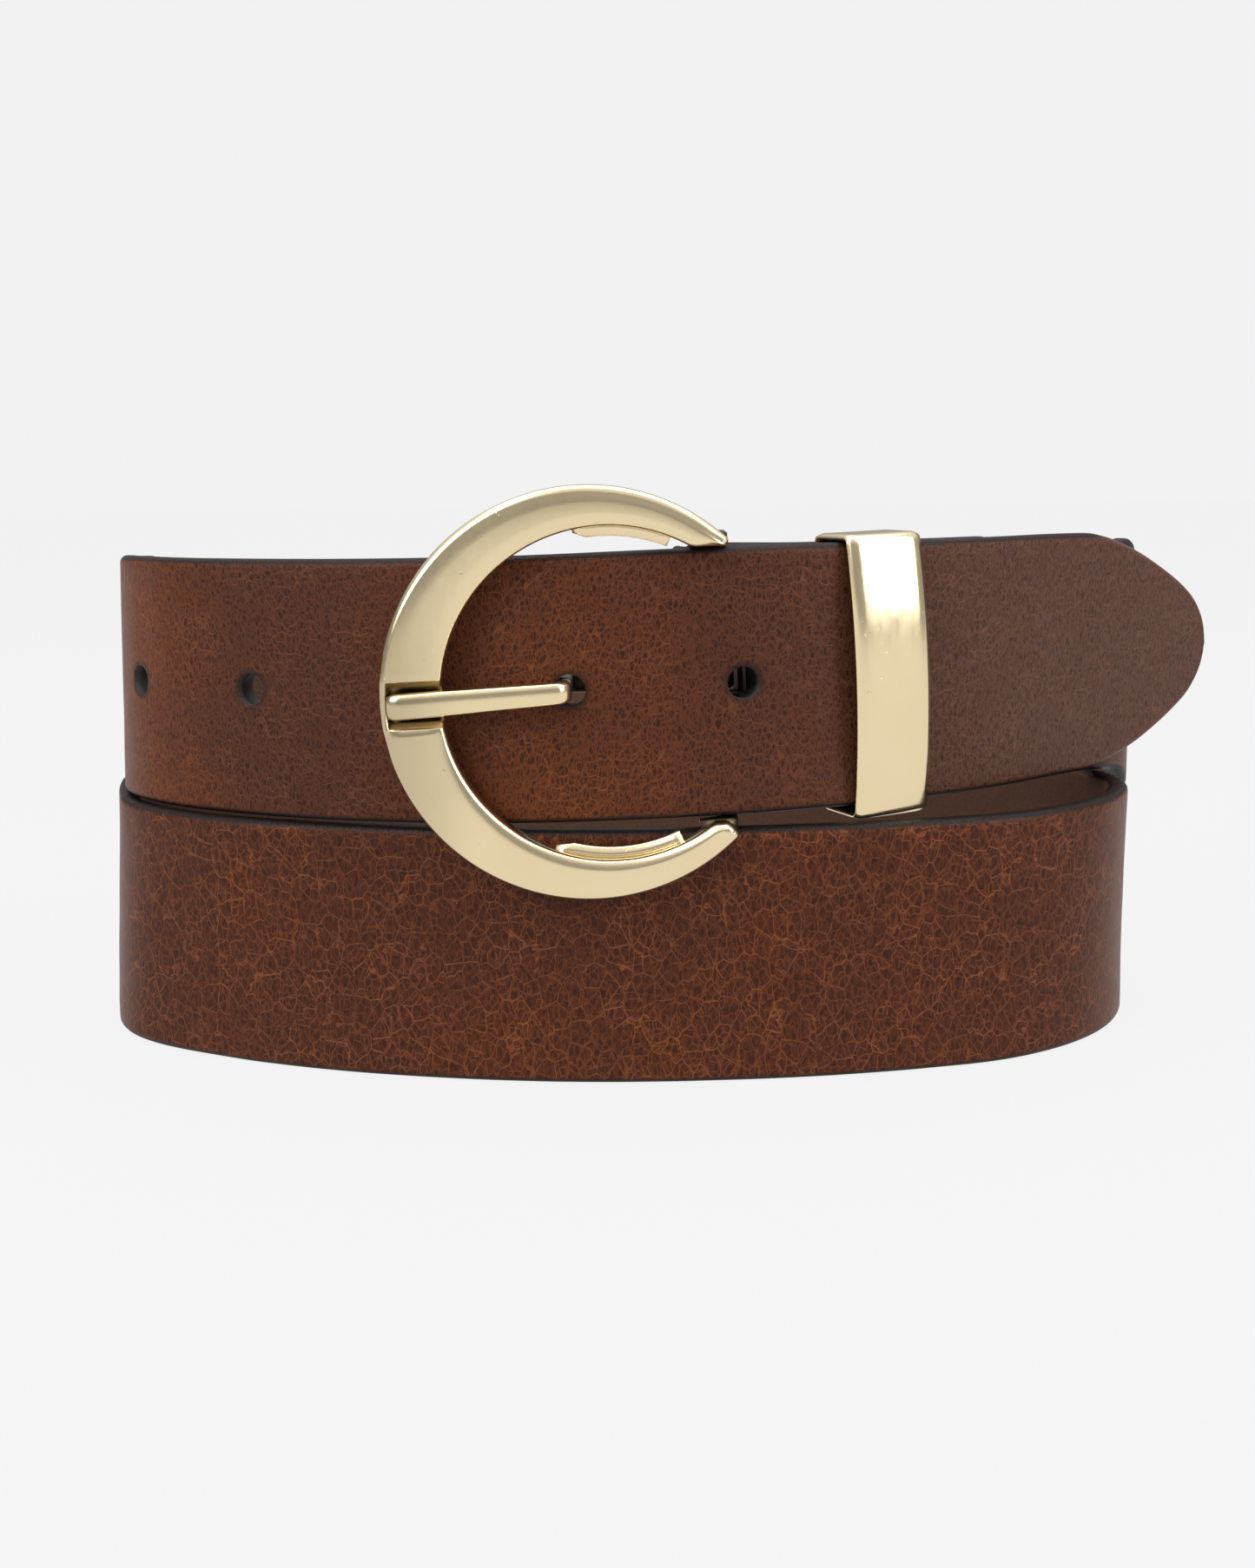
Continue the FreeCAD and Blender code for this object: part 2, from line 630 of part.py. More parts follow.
def build_buckle_frame():
    """C-shaped ring with a notch for the prong, rear ledges and two lugs that hold the bar."""
    body = new_body("buckle_frame", ring_frame)
    drop = "- ring_drop"
    ledges = new_sketch(body, "ledges", "XZ_Plane", "ring_to_bar")
    draw_circle(ledges, "- ring_inner_back", "ring_inner_radius + 0.5", drop)
    draw_circle(ledges, "- ring_inner_back", "ring_inner_radius - rail_depth", drop)
    add_pad(body, ledges, "rail_thick")
    ends = new_sketch(body, "ledge_ends", "XZ_Plane", "ring_to_bar + rail_thick")
    draw_rectangle(ends, "rail_right", "ring_outer_radius", "- 2*ring_outer_radius", "2*ring_outer_radius")
    draw_rectangle(ends, "- 2*ring_outer_radius", "rail_left", "- 2*ring_outer_radius",
                   "2*ring_outer_radius")
    add_pocket(body, ends, "rail_thick")
    ring = new_sketch(body, "ring", "XZ_Plane", "ring_to_bar")
    draw_circle(ring, "- ring_outer_back", "ring_outer_radius", drop)
    draw_circle(ring, "- ring_inner_back", "ring_inner_radius", drop)
    add_pad(body, ring, "ring_thick")
    arms = new_sketch(body, "arm_flats", "XZ_Plane", "ring_to_bar + ring_thick")
    draw_rectangle(arms, "- 0.5*ring_inner_back", "ring_outer_radius", "- arm_gap_half",
                   "arm_gap_half - 0.5*ring_drop")
    add_pocket(body, arms, "ring_thick")
    ends = new_sketch(body, "arm_ends", "XZ_Plane", "ring_to_bar + ring_thick")
    draw_rectangle(ends, "arm_end", "ring_outer_radius", "- 2*ring_outer_radius", "2*ring_outer_radius")
    add_pocket(body, ends, "ring_thick")
    front = -amount("ring_to_bar + ring_thick")
    back = -amount("ring_to_bar")
    add_fillet(body, "ring_front_round", lambda e: lies_at(e, "y", front) and e.Length > 40)
    add_fillet(body, "ring_back_round",
               lambda e: lies_at(e, "y", back) and e.Length > 100 and e.BoundBox.XMin < -45)
    notch = new_sketch(body, "notch", "XZ_Plane", "ring_to_bar + ring_thick")
    draw_rectangle(notch, "notch_rim - ring_outer_radius - ring_outer_back",
                   "- ring_inner_radius - 0.5*ring_outer_back",
                   "- ring_drop - notch_half", "notch_half - ring_drop")
    add_pocket(body, notch, "notch_depth")
    for side, start in (("upper", "lug_inner_half"), ("lower", "- lug_inner_half - lug_thick")):
        lug = new_sketch(body, side + "_lug", "XY_Plane", start)
        draw_polygon(lug, [
            ("- lug_half_width", "- ring_to_bar - 1"), ("lug_reach - 0.6", "- ring_to_bar - 1"),
            ("lug_reach - 0.6", "- ring_to_bar"), ("lug_reach", "- ring_to_bar + 0.6"),
            ("lug_reach", "0.5*lug_reach"), ("0.5*lug_reach", "lug_half_width"),
            ("- 0.5*lug_half_width", "lug_half_width"), ("- lug_half_width", "0.5*lug_half_width"),
        ])
        add_pad(body, lug, "lug_thick")
    bores = new_sketch(body, "bar_bores", "XY_Plane", "ring_outer_radius")
    draw_circle(bores, "0", "bar_radius")
    add_pocket(body, bores, "2*ring_outer_radius")


def build_buckle_bar():
    bar = doc.addObject("Part::Cylinder", "buckle_bar")
    bar.Label = "buckle_bar"
    half = amount("lug_inner_half + lug_thick")
    bind(bar, "Radius", "bar_radius")
    bind(bar, "Height", "2*lug_inner_half + 2*lug_thick")
    bar.Placement = ring_frame.multiply(Placement(Vector(0, 0, -half), Rotation()))


def build_prong():
    """Eye round the bar, shank behind the billet, a step through the hole and the part in front."""
    body = new_body("prong", ring_frame)
    side = new_sketch(body, "side", "XY_Plane", "- prong_lower - 0.5*prong_height")
    step_right = "prong_drop_width - prong_drop_left"
    front = "- prong_front_back - prong_thick"
    draw_polygon(side, [
        ("0", "0.5*prong_shank"), ("- prong_drop_left + 1", "0.5*prong_shank"),
        ("- prong_drop_left", "0.5*prong_shank - 1"), ("- prong_drop_left", "- prong_front_back"),
        ("- prong_tip_left", "- prong_front_back"), ("- prong_tip_left", front + " + 1.2"),
        ("- prong_tip_left + 1.2", front), (step_right + " - 1", front),
        (step_right, front + " + 1"), (step_right, "- 0.5*prong_shank"), ("0", "- 0.5*prong_shank"),
    ])
    add_pad(body, side, "prong_height")
    eye = new_sketch(body, "eye", "XY_Plane", "- prong_lower - 0.5*prong_height")
    draw_circle(eye, "0", "prong_eye_radius")
    add_pad(body, eye, "prong_height")
    bore = new_sketch(body, "eye_bore", "XY_Plane", "0.5*prong_height - prong_lower")
    draw_circle(bore, "0", "bar_radius + running_gap")
    add_pocket(body, bore, "prong_height")
    corners = new_sketch(body, "step_corners", "XZ_Plane", "prong_front_back")
    left = "- prong_drop_left"
    lower = " - prong_lower"
    for sign in ("", "- "):
        draw_polygon(corners, [
            (left + " - 0.5", sign + "0.7" + lower), (left + " + 0.1", sign + "0.7" + lower),
            (left + " + 0.5", sign + "1.25" + lower), (left + " + 1", sign + "1.55" + lower),
            (left + " + 1.4", sign + "prong_height" + lower),
            (left + " - 0.5", sign + "prong_height" + lower),
        ])
    add_pocket(body, corners, "prong_front_back + prong_shank")
    front_y = amount(front)
    add_fillet(body, "prong_round", lambda e: lies_at(e, "y", front_y) and e.Length > 10)


def keeper_place():
    """Middle of the keeper, on the billet's outer face."""
    heading = dim("keeper_heading")
    point = billet_front + run_vector(0, *BILLET_RIGHT[0])
    point += run_vector(KEEPER_ARC_START, BILLET_RIGHT[1][0], heading - KEEPER_ARC_START)
    point.z = dim("keeper_height")
    return Placement(point, Rotation(heading, -dim("keeper_roll"), 0))


def bowed_outline(front, back, half):
    """Outline of a loop whose front side bows outward.  Front, back and half height are formulas."""
    shares = [(0.8, 0.36), (0.6, 0.64), (0.35, 0.88), (0.1, 0.99)]
    low = [(front + f" - {bow}*keeper_bow", f"- {height}*keeper_inner_half") for height, bow in shares]
    high = [(front + f" - {bow}*keeper_bow", f"{height}*keeper_inner_half")
            for height, bow in reversed(shares)]
    return [(front, half), (back, half), (back, "- " + half.replace("+", "-")),
            (front, "- " + half.replace("+", "-"))] + low + high


def build_keeper():
    """Closed metal loop round the billet and the strap under it."""
    body = new_body("keeper", keeper_place())
    front = "- keeper_front_gap"
    back = "2*strap_thick + layer_gap + keeper_back_gap"
    half = "keeper_inner_half"
    loop = new_sketch(body, "loop", "YZ_Plane", "- 0.5*keeper_width")
    draw_polygon(loop, bowed_outline(front + " - keeper_wall", back + " + keeper_wall",
                                     half + " + keeper_wall"))
    draw_polygon(loop, bowed_outline(front, back, half))
    add_pad(body, loop, "keeper_width")
    corners = [amount(front + " - keeper_wall"), amount(back + " + keeper_wall")]
    top = amount(half + " + keeper_wall")
    across = dim("keeper_width")
    add_fillet(body, "keeper_corner", lambda e: abs(e.Length - across) < 0.01
               and abs(abs(e.Vertexes[0].Z) - top) < 0.01
               and min(abs(e.Vertexes[0].Y - y) for y in corners) < 0.01)


# ---------------------------------------------------------------------------------------------
# Fold tab and press studs.
# ---------------------------------------------------------------------------------------------
def tab_offset(length):
    """Distance from the strap's middle line to the tab's: it closes in over the first centimetre."""
    near = 2 * fold_mid
    far = THICK + dim("tab_gap")
    u = min(max(length / dim("tab_settle"), 0.0), 1.0)
    return near + (far - near) * (1 - math.cos(math.pi * u)) / 2


def tab_section(point, heading, length):
    """Cross-section of the tab beside a station of the strap."""
    centre = point + inward(heading) * tab_offset(length)
    centre.z = height_at(length) + WIDTH / 2
    return section(centre, heading, WIDTH / 2, HALF, lean_at(heading))


def build_fold_tab():
    beside = [place for place in COURSE if place[2] <= dim("tab_length")]
    leg, leg_lengths = leg_sections(fold_mid)
    sections = leg + [tab_section(*place) for place in beside]
    body = strip(sections, leg_lengths + [length for point, heading, length in beside])
    pared = fold_mid - dim("skive_gap") / 2
    bend = fold_sector(fold_inner, pared, dim("fold_turn") - dim("fold_lap"), 180)
    bend = bend.fuse(root_block(fold_inner, pared))
    bend.Placement = fold_place
    tool = slot_tool()
    tool.Placement = fold_frame
    tab = body.fuse(bend).cut(tool)
    for place in stud_places():
        tab = drill(tab, place, dim("post_radius") + dim("hardware_gap"), THICK + 1, 4 * THICK)
    return tab.removeSplitter().Solids[0]


def turned(name, place, discs, ball=None):
    """One turned piece: discs as (radius, height, start along the axis), formulas of the sheet."""
    solids = []
    for k, (radius, height, start) in enumerate(discs):
        disc = doc.addObject("Part::Cylinder", f"{name}_disc_{k}")
        bind(disc, "Radius", radius)
        bind(disc, "Height", height)
        disc.Placement = place.multiply(Placement(Vector(0, 0, amount(start)), Rotation()))
        solids.append(disc)
    if len(solids) == 1:
        return solids[0]
    fused = doc.addObject("Part::MultiFuse", name)
    fused.Shapes = solids
    return fused


def build_studs():
    """Two press studs.  Their axes run inward from the outer face of the under strap."""
    inner_face = "strap_thick + stud_seat_gap"
    tab_face = "strap_thick + tab_gap"
    tab_back = "2*strap_thick + tab_gap"
    kinds = {
        "snap_posts": [("post_head_radius", "post_head_thick - hardware_gap", "0"),
                       ("post_radius", "strap_thick - 0.2", "0")],
        "snap_studs": [("stud_base_radius", "stud_base_thick", inner_face),
                       ("stud_ball_radius", "stud_ball_height + stud_base_thick", inner_face)],
        "snap_caps": [("cap_radius", "0.5*cap_thick", tab_back + " + cap_seat_gap"),
                      ("0.75*cap_radius", "cap_thick", tab_back + " + cap_seat_gap"),
                      ("post_radius", "0.8*strap_thick", tab_back + " - 0.8*strap_thick + 0.5")],
    }
    for kind, discs in kinds.items():
        pieces = [turned(f"{kind}_{k}", place, discs) for k, place in enumerate(stud_places())]
        group = doc.addObject("Part::Compound", kind)
        group.Label = kind
        group.Links = pieces
    sockets = []
    for k, place in enumerate(stud_places()):
        start = tab_face + " - socket_thick - hardware_gap"
        rim = turned(f"socket_rim_{k}", place, [("socket_radius", "socket_thick", start)])
        bore = turned(f"socket_bore_{k}", place, [("socket_bore_radius", "socket_thick", start)])
        cut = doc.addObject("Part::Cut", f"socket_{k}")
        cut.Base = rim
        cut.Tool = bore
        sockets.append(cut)
    group = doc.addObject("Part::Compound", "snap_sockets")
    group.Label = "snap_sockets"
    group.Links = sockets


NODES = ["strap", "fold_tab", "buckle_frame", "buckle_bar", "prong", "keeper",
         "snap_posts", "snap_studs", "snap_sockets", "snap_caps"]

part_feature("strap", build_strap())
part_feature("fold_tab", build_fold_tab())
build_buckle_frame()
build_buckle_bar()
build_prong()
build_keeper()
build_studs()
doc.recompute()

for obj in doc.Objects:
    if "Invalid" in obj.State or "Error" in obj.State:
        raise RuntimeError(obj.Label + " did not compute")
os.makedirs("parts", exist_ok=True)
for node in NODES:
    shape = next(obj for obj in doc.Objects if obj.Label == node).Shape
    if shape.isNull() or not shape.isValid():
        raise RuntimeError(node + " has no valid shape")
    shape.exportStep(f"parts/{node}.step")
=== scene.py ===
import math

import bmesh
import bpy
from mathutils import Matrix, Vector, noise


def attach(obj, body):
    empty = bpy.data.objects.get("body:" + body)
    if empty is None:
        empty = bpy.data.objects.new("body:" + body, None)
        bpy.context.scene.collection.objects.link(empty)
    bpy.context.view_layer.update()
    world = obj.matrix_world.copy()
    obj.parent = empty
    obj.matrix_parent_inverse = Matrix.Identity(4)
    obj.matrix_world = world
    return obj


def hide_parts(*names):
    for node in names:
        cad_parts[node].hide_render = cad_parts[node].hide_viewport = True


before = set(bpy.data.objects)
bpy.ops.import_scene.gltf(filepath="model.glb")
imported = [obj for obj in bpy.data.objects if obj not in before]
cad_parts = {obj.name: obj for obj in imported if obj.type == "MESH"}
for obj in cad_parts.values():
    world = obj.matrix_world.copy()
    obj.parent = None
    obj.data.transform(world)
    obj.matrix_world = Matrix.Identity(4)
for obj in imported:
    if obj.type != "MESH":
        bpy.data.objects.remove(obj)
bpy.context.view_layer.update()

MM = 0.001

# --------------------------------------------------------------------------------------------
# The strap's course in plan, in millimetres.  A run is (radius, turn) for an arc that turns left,
# or (length, 0) for a straight; radii are those of the outer face.  The heading is the direction
# of travel: 0 along +X at the front, 90 at the right end, and so on through the two turns.
# --------------------------------------------------------------------------------------------
WIDTH = 40.0
THICK = 3.5
HALF = THICK / 2
LOWER_FRONT_LEFT = [(10.0, 0), (20.0, 18), (30.0, 20), (84.0, 15), (174.0, 20)]
LOWER_FRONT_RIGHT = [(199.5, 15), (50.0, 20), (43.0, 20), (34.0, 19), (20.0, 46)]
UPPER_LEFT = [(40.0, 16.5), (27.5, 23.5), (52.0, 20), (110.0, 12), (160.0, 18)]
BILLET_RIGHT = [(76.0, 20), (110.0, 22)]
UNDER_STRAIGHT = 24.7
UNDER_BEND = (31.8, 48)
BACK_RIGHT_TURN = {"outer": 80, "inner": 50}
BACK_RUNS = {"outer": (385.0, 20), "inner": (330.0, 20)}
BACK_LEFT_TURN = {"outer": 97, "inner": 80}
TIP_STRAIGHT = 51.5
LOWER_FRONT_X = 2.2
BILLET_FRONT = Vector((4.5, -3.56, 0))
LAYER_GAP = 0.43
KEEPER_ARC_START = 20
KEEPER_ARC_END = 42
BAR_HEADING = 10.0
BAR_ROLL = 2.25
BAR_HEIGHT = 62.2
BAR_RADIUS = 1.75
LEG_LENGTH = 3.0
FOLD_DROP = -0.1
FOLD_INNER = BAR_RADIUS + 0.05
FOLD_MID = FOLD_INNER + HALF
FOLD_OUTER = FOLD_INNER + THICK
FOLD_TURN = 105
FOLD_LAP = 15
TAB_GAP = 3.0
TAB_SETTLE = 4.0
TAB_LENGTH = 57.0
TAB_CORNER = 5.0
TAB_GRAIN_START = 903.0              # where the tab's grain starts along the strap
STUD_LENGTHS = (11.6, 50.0)          # press studs, from the bar along the strap
STUD_SEAT_RADIUS = 4.25
STUD_SEAT_DEPTH = 0.9
STUD_SHANK_RADIUS = 1.45
SLOT_HALF = 2.5
SLOT_RIGHT = 4.3
STEP = 1.6
# Height of the bottom edge, and degrees of lean into the coil, where the strap passes a heading.
HEIGHTS = [
    (10, 42.2), (20, 42.0), (42, 41.85), (54, 40.15), (74.5, 36.2), (90, 33.6), (235, -0.1), (360, -0.1),
    (490, -0.1), (600, 36.0), (622, 38.7), (636, 39.6), (646.5, 40.0), (668, 40.25), (690, 40.35),
    (702, 40.5), (711, 40.9), (720, 41.75), (727, 42.05), (740, 42.3), (762, 42.3),
]
BANKS = [(255, 0.0), (283, 3.2), (305, 3.2), (335, 0.0), (612, 0.0), (636, 2.0), (665, 2.0), (690, 0.0)]
HOLE_RADIUS = 2.4
HOLE_COUNTS = (-3, -2, -1, 0, 1)     # places of the holes, counted from the used one
HOLE_PITCH = 25.4
USED_HOLE_BACK = 12.8
TIP_HEIGHT = 41.4
# Half width of the strap at distances along its last 37 mm
TIP_OUTLINE = [(0, 20), (5, 19.4), (10, 18.3), (15.6, 16.7), (21, 14.7), (27, 12.1), (32, 9.3),
               (34.5, 7.0), (36, 4.8), (36.8, 2.4), (37, 0.6)]


def along(heading):
    return Vector((math.cos(math.radians(heading)), math.sin(math.radians(heading)), 0))


def inward(heading):
    return Vector((-math.sin(math.radians(heading)), math.cos(math.radians(heading)), 0))


def run_vector(heading, radius, turn):
    if turn == 0:
        return along(heading) * radius
    first = math.radians(heading)
    last = math.radians(heading + turn)
    return Vector((math.sin(last) - math.sin(first), math.cos(first) - math.cos(last), 0)) * radius


def runs_vector(heading, runs):
    total = Vector((0, 0, 0))
    for radius, turn in runs:
        total += run_vector(heading, radius, turn)
        heading += turn
    return total


def inset(runs, depth):
    return [(radius - depth if turn else radius, turn) for radius, turn in runs]


def closing_radii(gap, heading, first_turn, back_run, last_turn):
    unit_first = run_vector(heading, 1.0, first_turn)
    middle = run_vector(heading + first_turn, *back_run)
    unit_last = run_vector(heading + first_turn + back_run[1], 1.0, last_turn)
    rest = gap - middle
    det = unit_first.x * unit_last.y - unit_first.y * unit_last.x
    return ((rest.x * unit_last.y - rest.y * unit_last.x) / det,
            (unit_first.x * rest.y - unit_first.y * rest.x) / det)


def stations(start, heading, runs):
    point = Vector(start)
    travelled = 0.0
    made = [(Vector(point), heading, 0.0)]
    for radius, turn in runs:
        length = abs(math.radians(turn)) * abs(radius) if turn else radius
        pieces = max(2, math.ceil(length / STEP))
        for k in range(1, pieces + 1):
            part = run_vector(heading, radius, turn * k / pieces) if turn else \
                run_vector(heading, radius * k / pieces, 0)
            made.append((point + part, heading + turn * k / pieces, travelled + length * k / pieces))
        point = made[-1][0]
        heading += turn
        travelled += length
    return made


UNDER_INSET = THICK + LAYER_GAP
leg_end = BILLET_FRONT + inward(0) * (UNDER_INSET + HALF)
leg_end += run_vector(0, BILLET_RIGHT[0][0] - UNDER_INSET - HALF, BAR_HEADING)
under_start = leg_end - along(BAR_HEADING) * LEG_LENGTH
bar_plan = under_start + inward(BAR_HEADING) * FOLD_MID
BAR = Vector((bar_plan.x, bar_plan.y, BAR_HEIGHT))


def strap_course():
    front = [(BILLET_RIGHT[0][0] - UNDER_INSET, KEEPER_ARC_START - BAR_HEADING),
             (BILLET_RIGHT[1][0] - UNDER_INSET, KEEPER_ARC_END - KEEPER_ARC_START)]
    lead = inset(front, HALF) + [(UNDER_STRAIGHT, 0)] + inset([UNDER_BEND], HALF)
    lower_front = Vector((LOWER_FRONT_X, 0, 0))
    lower_left = inset(LOWER_FRONT_LEFT, HALF)
    lower_right = inset(LOWER_FRONT_RIGHT, HALF)
    upper_left = inset(UPPER_LEFT, HALF)
    billet_middle = BILLET_FRONT + Vector((0, HALF, 0))
    outer_from = leg_end + runs_vector(BAR_HEADING, lead)
    outer_to = lower_front - runs_vector(287, lower_left)
    outer = closing_radii(outer_to - outer_from, 90, BACK_RIGHT_TURN["outer"], BACK_RUNS["outer"],
                          BACK_LEFT_TURN["outer"])
    inner_from = lower_front + runs_vector(0, lower_right)
    inner_to = billet_middle - runs_vector(270, upper_left)
    inner = closing_radii(inner_to - inner_from, 120, BACK_RIGHT_TURN["inner"], BACK_RUNS["inner"],
                          BACK_LEFT_TURN["inner"])
    runs = list(lead)
    runs += [(outer[0], BACK_RIGHT_TURN["outer"]), BACK_RUNS["outer"], (outer[1], BACK_LEFT_TURN["outer"])]
    runs += lower_left + lower_right
    runs += [(inner[0], BACK_RIGHT_TURN["inner"]), BACK_RUNS["inner"], (inner[1], BACK_LEFT_TURN["inner"])]
    runs += upper_left + inset(BILLET_RIGHT, HALF) + [(TIP_STRAIGHT, 0)]
    return stations(leg_end, BAR_HEADING, runs)


COURSE = strap_course()
END = COURSE[-1][2]


def course_length(heading):
    return next(s for p, h, s in COURSE if h >= heading - 1e-6)


def smooth_value(points, x):
    """Value at x of a smooth curve through points that never overshoots them."""
    def slope(i):
        if i in (0, len(points) - 1):
            return 0.0
        before = (points[i][1] - points[i - 1][1]) / (points[i][0] - points[i - 1][0])
        after = (points[i + 1][1] - points[i][1]) / (points[i + 1][0] - points[i][0])
        return 0.0 if before * after <= 0 else 2 * before * after / (before + after)
    x = min(max(x, points[0][0]), points[-1][0])
    i = max(k for k in range(len(points) - 1) if points[k][0] <= x)
    (x0, y0), (x1, y1) = points[i], points[i + 1]
    span = x1 - x0
    u = (x - x0) / span
    return ((2 * u**3 - 3 * u**2 + 1) * y0 + (u**3 - 2 * u**2 + u) * slope(i) * span
            + (3 * u**2 - 2 * u**3) * y1 + (u**3 - u**2) * slope(i + 1) * span)


HEIGHT_POINTS = [(course_length(heading), height) for heading, height in HEIGHTS]
HEIGHT_POINTS.append((END, TIP_HEIGHT))
BANK_POINTS = [(course_length(heading), bank) for heading, bank in BANKS]
LOWER_FROM = course_length(235)
LOWER_TO = course_length(490)
USED_HOLE = course_length(720) - USED_HOLE_BACK


def height_at(length):
    return smooth_value(HEIGHT_POINTS, length)


def lean_at(heading):
    return BAR_ROLL * max(0.0, 1 - max(0.0, heading - BAR_HEADING) / (KEEPER_ARC_START - BAR_HEADING))


def place_on_course(length):
    i = max(k for k in range(len(COURSE) - 1) if COURSE[k][2] <= length)
    (p0, h0, s0), (p1, h1, s1) = COURSE[i], COURSE[i + 1]
    u = (length - s0) / (s1 - s0)
    heading = h0 + (h1 - h0) * u
    if h1 == h0:
        return p0 + (p1 - p0) * u, heading, height_at(length)
    radius = (s1 - s0) / math.radians(h1 - h0)
    return p0 + run_vector(h0, radius, heading - h0), heading, height_at(length)


# --------------------------------------------------------------------------------------------
# Mesh helpers
# --------------------------------------------------------------------------------------------
def new_object(name, verts, faces, smooth=True, materials=()):
    mesh = bpy.data.meshes.new(name)
    mesh.from_pydata([tuple(v * MM for v in p) for p in verts], [], faces)
    mesh.update()
    obj = bpy.data.objects.new(name, mesh)
    bpy.context.scene.collection.objects.link(obj)
    for polygon in mesh.polygons:
        polygon.use_smooth = smooth
    for material in materials:
        mesh.materials.append(material)
    return obj


def fix_normals(obj):
    bm = bmesh.new()
    bm.from_mesh(obj.data)
    bmesh.ops.recalc_face_normals(bm, faces=bm.faces)
    bm.to_mesh(obj.data)
    bm.free()


def tube_faces(rings, count, closed=False):
    """Faces of a tube of rings that hold count points each."""
    faces = []
    last = rings if closed else rings - 1
    for r in range(last):
        for k in range(count):
            a = r * count + k
            b = r * count + (k + 1) % count
            c = ((r + 1) % rings) * count + (k + 1) % count
            d = ((r + 1) % rings) * count + k
            faces.append((a, b, c, d))
    if not closed:
        faces.append(tuple(range(count - 1, -1, -1)))
        faces.append(tuple((rings - 1) * count + k for k in range(count)))
    return faces


def apply_modifiers(obj):
    graph = bpy.context.evaluated_depsgraph_get()
    mesh = bpy.data.meshes.new_from_object(obj.evaluated_get(graph))
    obj.modifiers.clear()
    obj.data = mesh


def cut(obj, cutters):
    """Cuts some solids out of a piece and deletes them."""
    for cutter in cutters:
        modifier = obj.modifiers.new("cut", "BOOLEAN")
        modifier.operation = "DIFFERENCE"
        modifier.solver = "EXACT"
        modifier.object = cutter
    apply_modifiers(obj)
    for cutter in cutters:
        bpy.data.objects.remove(cutter, do_unlink=True)


def cylinder(name, place, radius, low, high, materials=(), count=48):
    verts = []
    for z in (low, high):
        for k in range(count):
            a = 2 * math.pi * k / count
            verts.append(place @ Vector((radius * math.cos(a), radius * math.sin(a), z)))
    obj = new_object(name, verts, tube_faces(2, count), materials=materials)
    fix_normals(obj)
    return obj


def block(name, place, low, high):
    corners = [Vector((x, y, z)) for x in (low[0], high[0]) for y in (low[1], high[1])
               for z in (low[2], high[2])]
    faces = [(0, 1, 3, 2), (4, 6, 7, 5), (0, 4, 5, 1), (2, 3, 7, 6), (0, 2, 6, 4), (1, 5, 7, 3)]
    obj = new_object(name, [place @ c for c in corners], faces, smooth=False)
    fix_normals(obj)
    return obj


def frame_matrix(origin, x_axis, y_axis, z_axis):
    rotation = Matrix((x_axis, y_axis, z_axis)).transposed().to_4x4()
    return Matrix.Translation(origin) @ rotation


def bar_matrix(yaw):
    """Frame on the bar whose local z is the bar's axis."""
    turn = Matrix.Rotation(math.radians(BAR_HEADING), 4, "Z")
    roll = Matrix.Rotation(math.radians(-BAR_ROLL), 4, "Y")
    return Matrix.Translation(BAR) @ turn @ roll @ Matrix.Rotation(math.radians(yaw), 4, "Z")


FOLD = bar_matrix(0)
RING = bar_matrix(-BAR_HEADING)
FOLD_PLACE = FOLD @ Matrix.Translation((0, 0, FOLD_DROP))


def facing(length, depth=0.0):
    """Frame on the strap's outer face: local z inward, local x along the strap."""
    point, heading, height = place_on_course(length)
    origin = point + inward(heading) * (depth - HALF)
    origin.z = height + WIDTH / 2
    return frame_matrix(origin, along(heading), Vector((0, 0, -1)), inward(heading))


# --------------------------------------------------------------------------------------------
# Leather strips
# --------------------------------------------------------------------------------------------
EDGE_ROUND = 1.25
FACE_STEPS = 26
BACK_STEPS = 10
CORNER_STEPS = 5


def strip_profile(half_height, half_thick, bow):
    """Points (up, inward, distance round the section) from the middle of the inner face,
    round the lower edge, the outer face and the upper edge, back to the middle of the inner face."""
    r = min(EDGE_ROUND, half_thick * 0.92, half_height * 0.8)
    flat = half_height - r
    lower = []
    for k in range(CORNER_STEPS + 1):
        a = math.pi / 2 * k / CORNER_STEPS
        lower.append((-flat - r * math.sin(a), half_thick - r + r * math.cos(a)))
    for k in range(CORNER_STEPS + 1):
        a = math.pi / 2 * k / CORNER_STEPS
        lower.append((-flat - r * math.cos(a), -half_thick + r - r * math.sin(a)))
    half_back = [(-flat * k / BACK_STEPS, half_thick) for k in range(BACK_STEPS)]
    face = [(-flat + 2 * flat * k / FACE_STEPS, -half_thick) for k in range(1, FACE_STEPS)]
    upper = [(-up, depth) for up, depth in reversed(lower)]
    other_back = [(-up, depth) for up, depth in reversed(half_back[1:])]
    points = half_back + lower + face + upper + other_back
    points = [(up, depth - bow * (up / half_height) ** 2) for up, depth in points]
    distance = [0.0]
    for k in range(1, len(points)):
        distance.append(distance[-1] + math.dist(points[k - 1], points[k]))
    total = distance[-1] + math.dist(points[-1], points[0])
    return [(up, depth, d - total / 2) for (up, depth), d in zip(points, distance)], total / 2


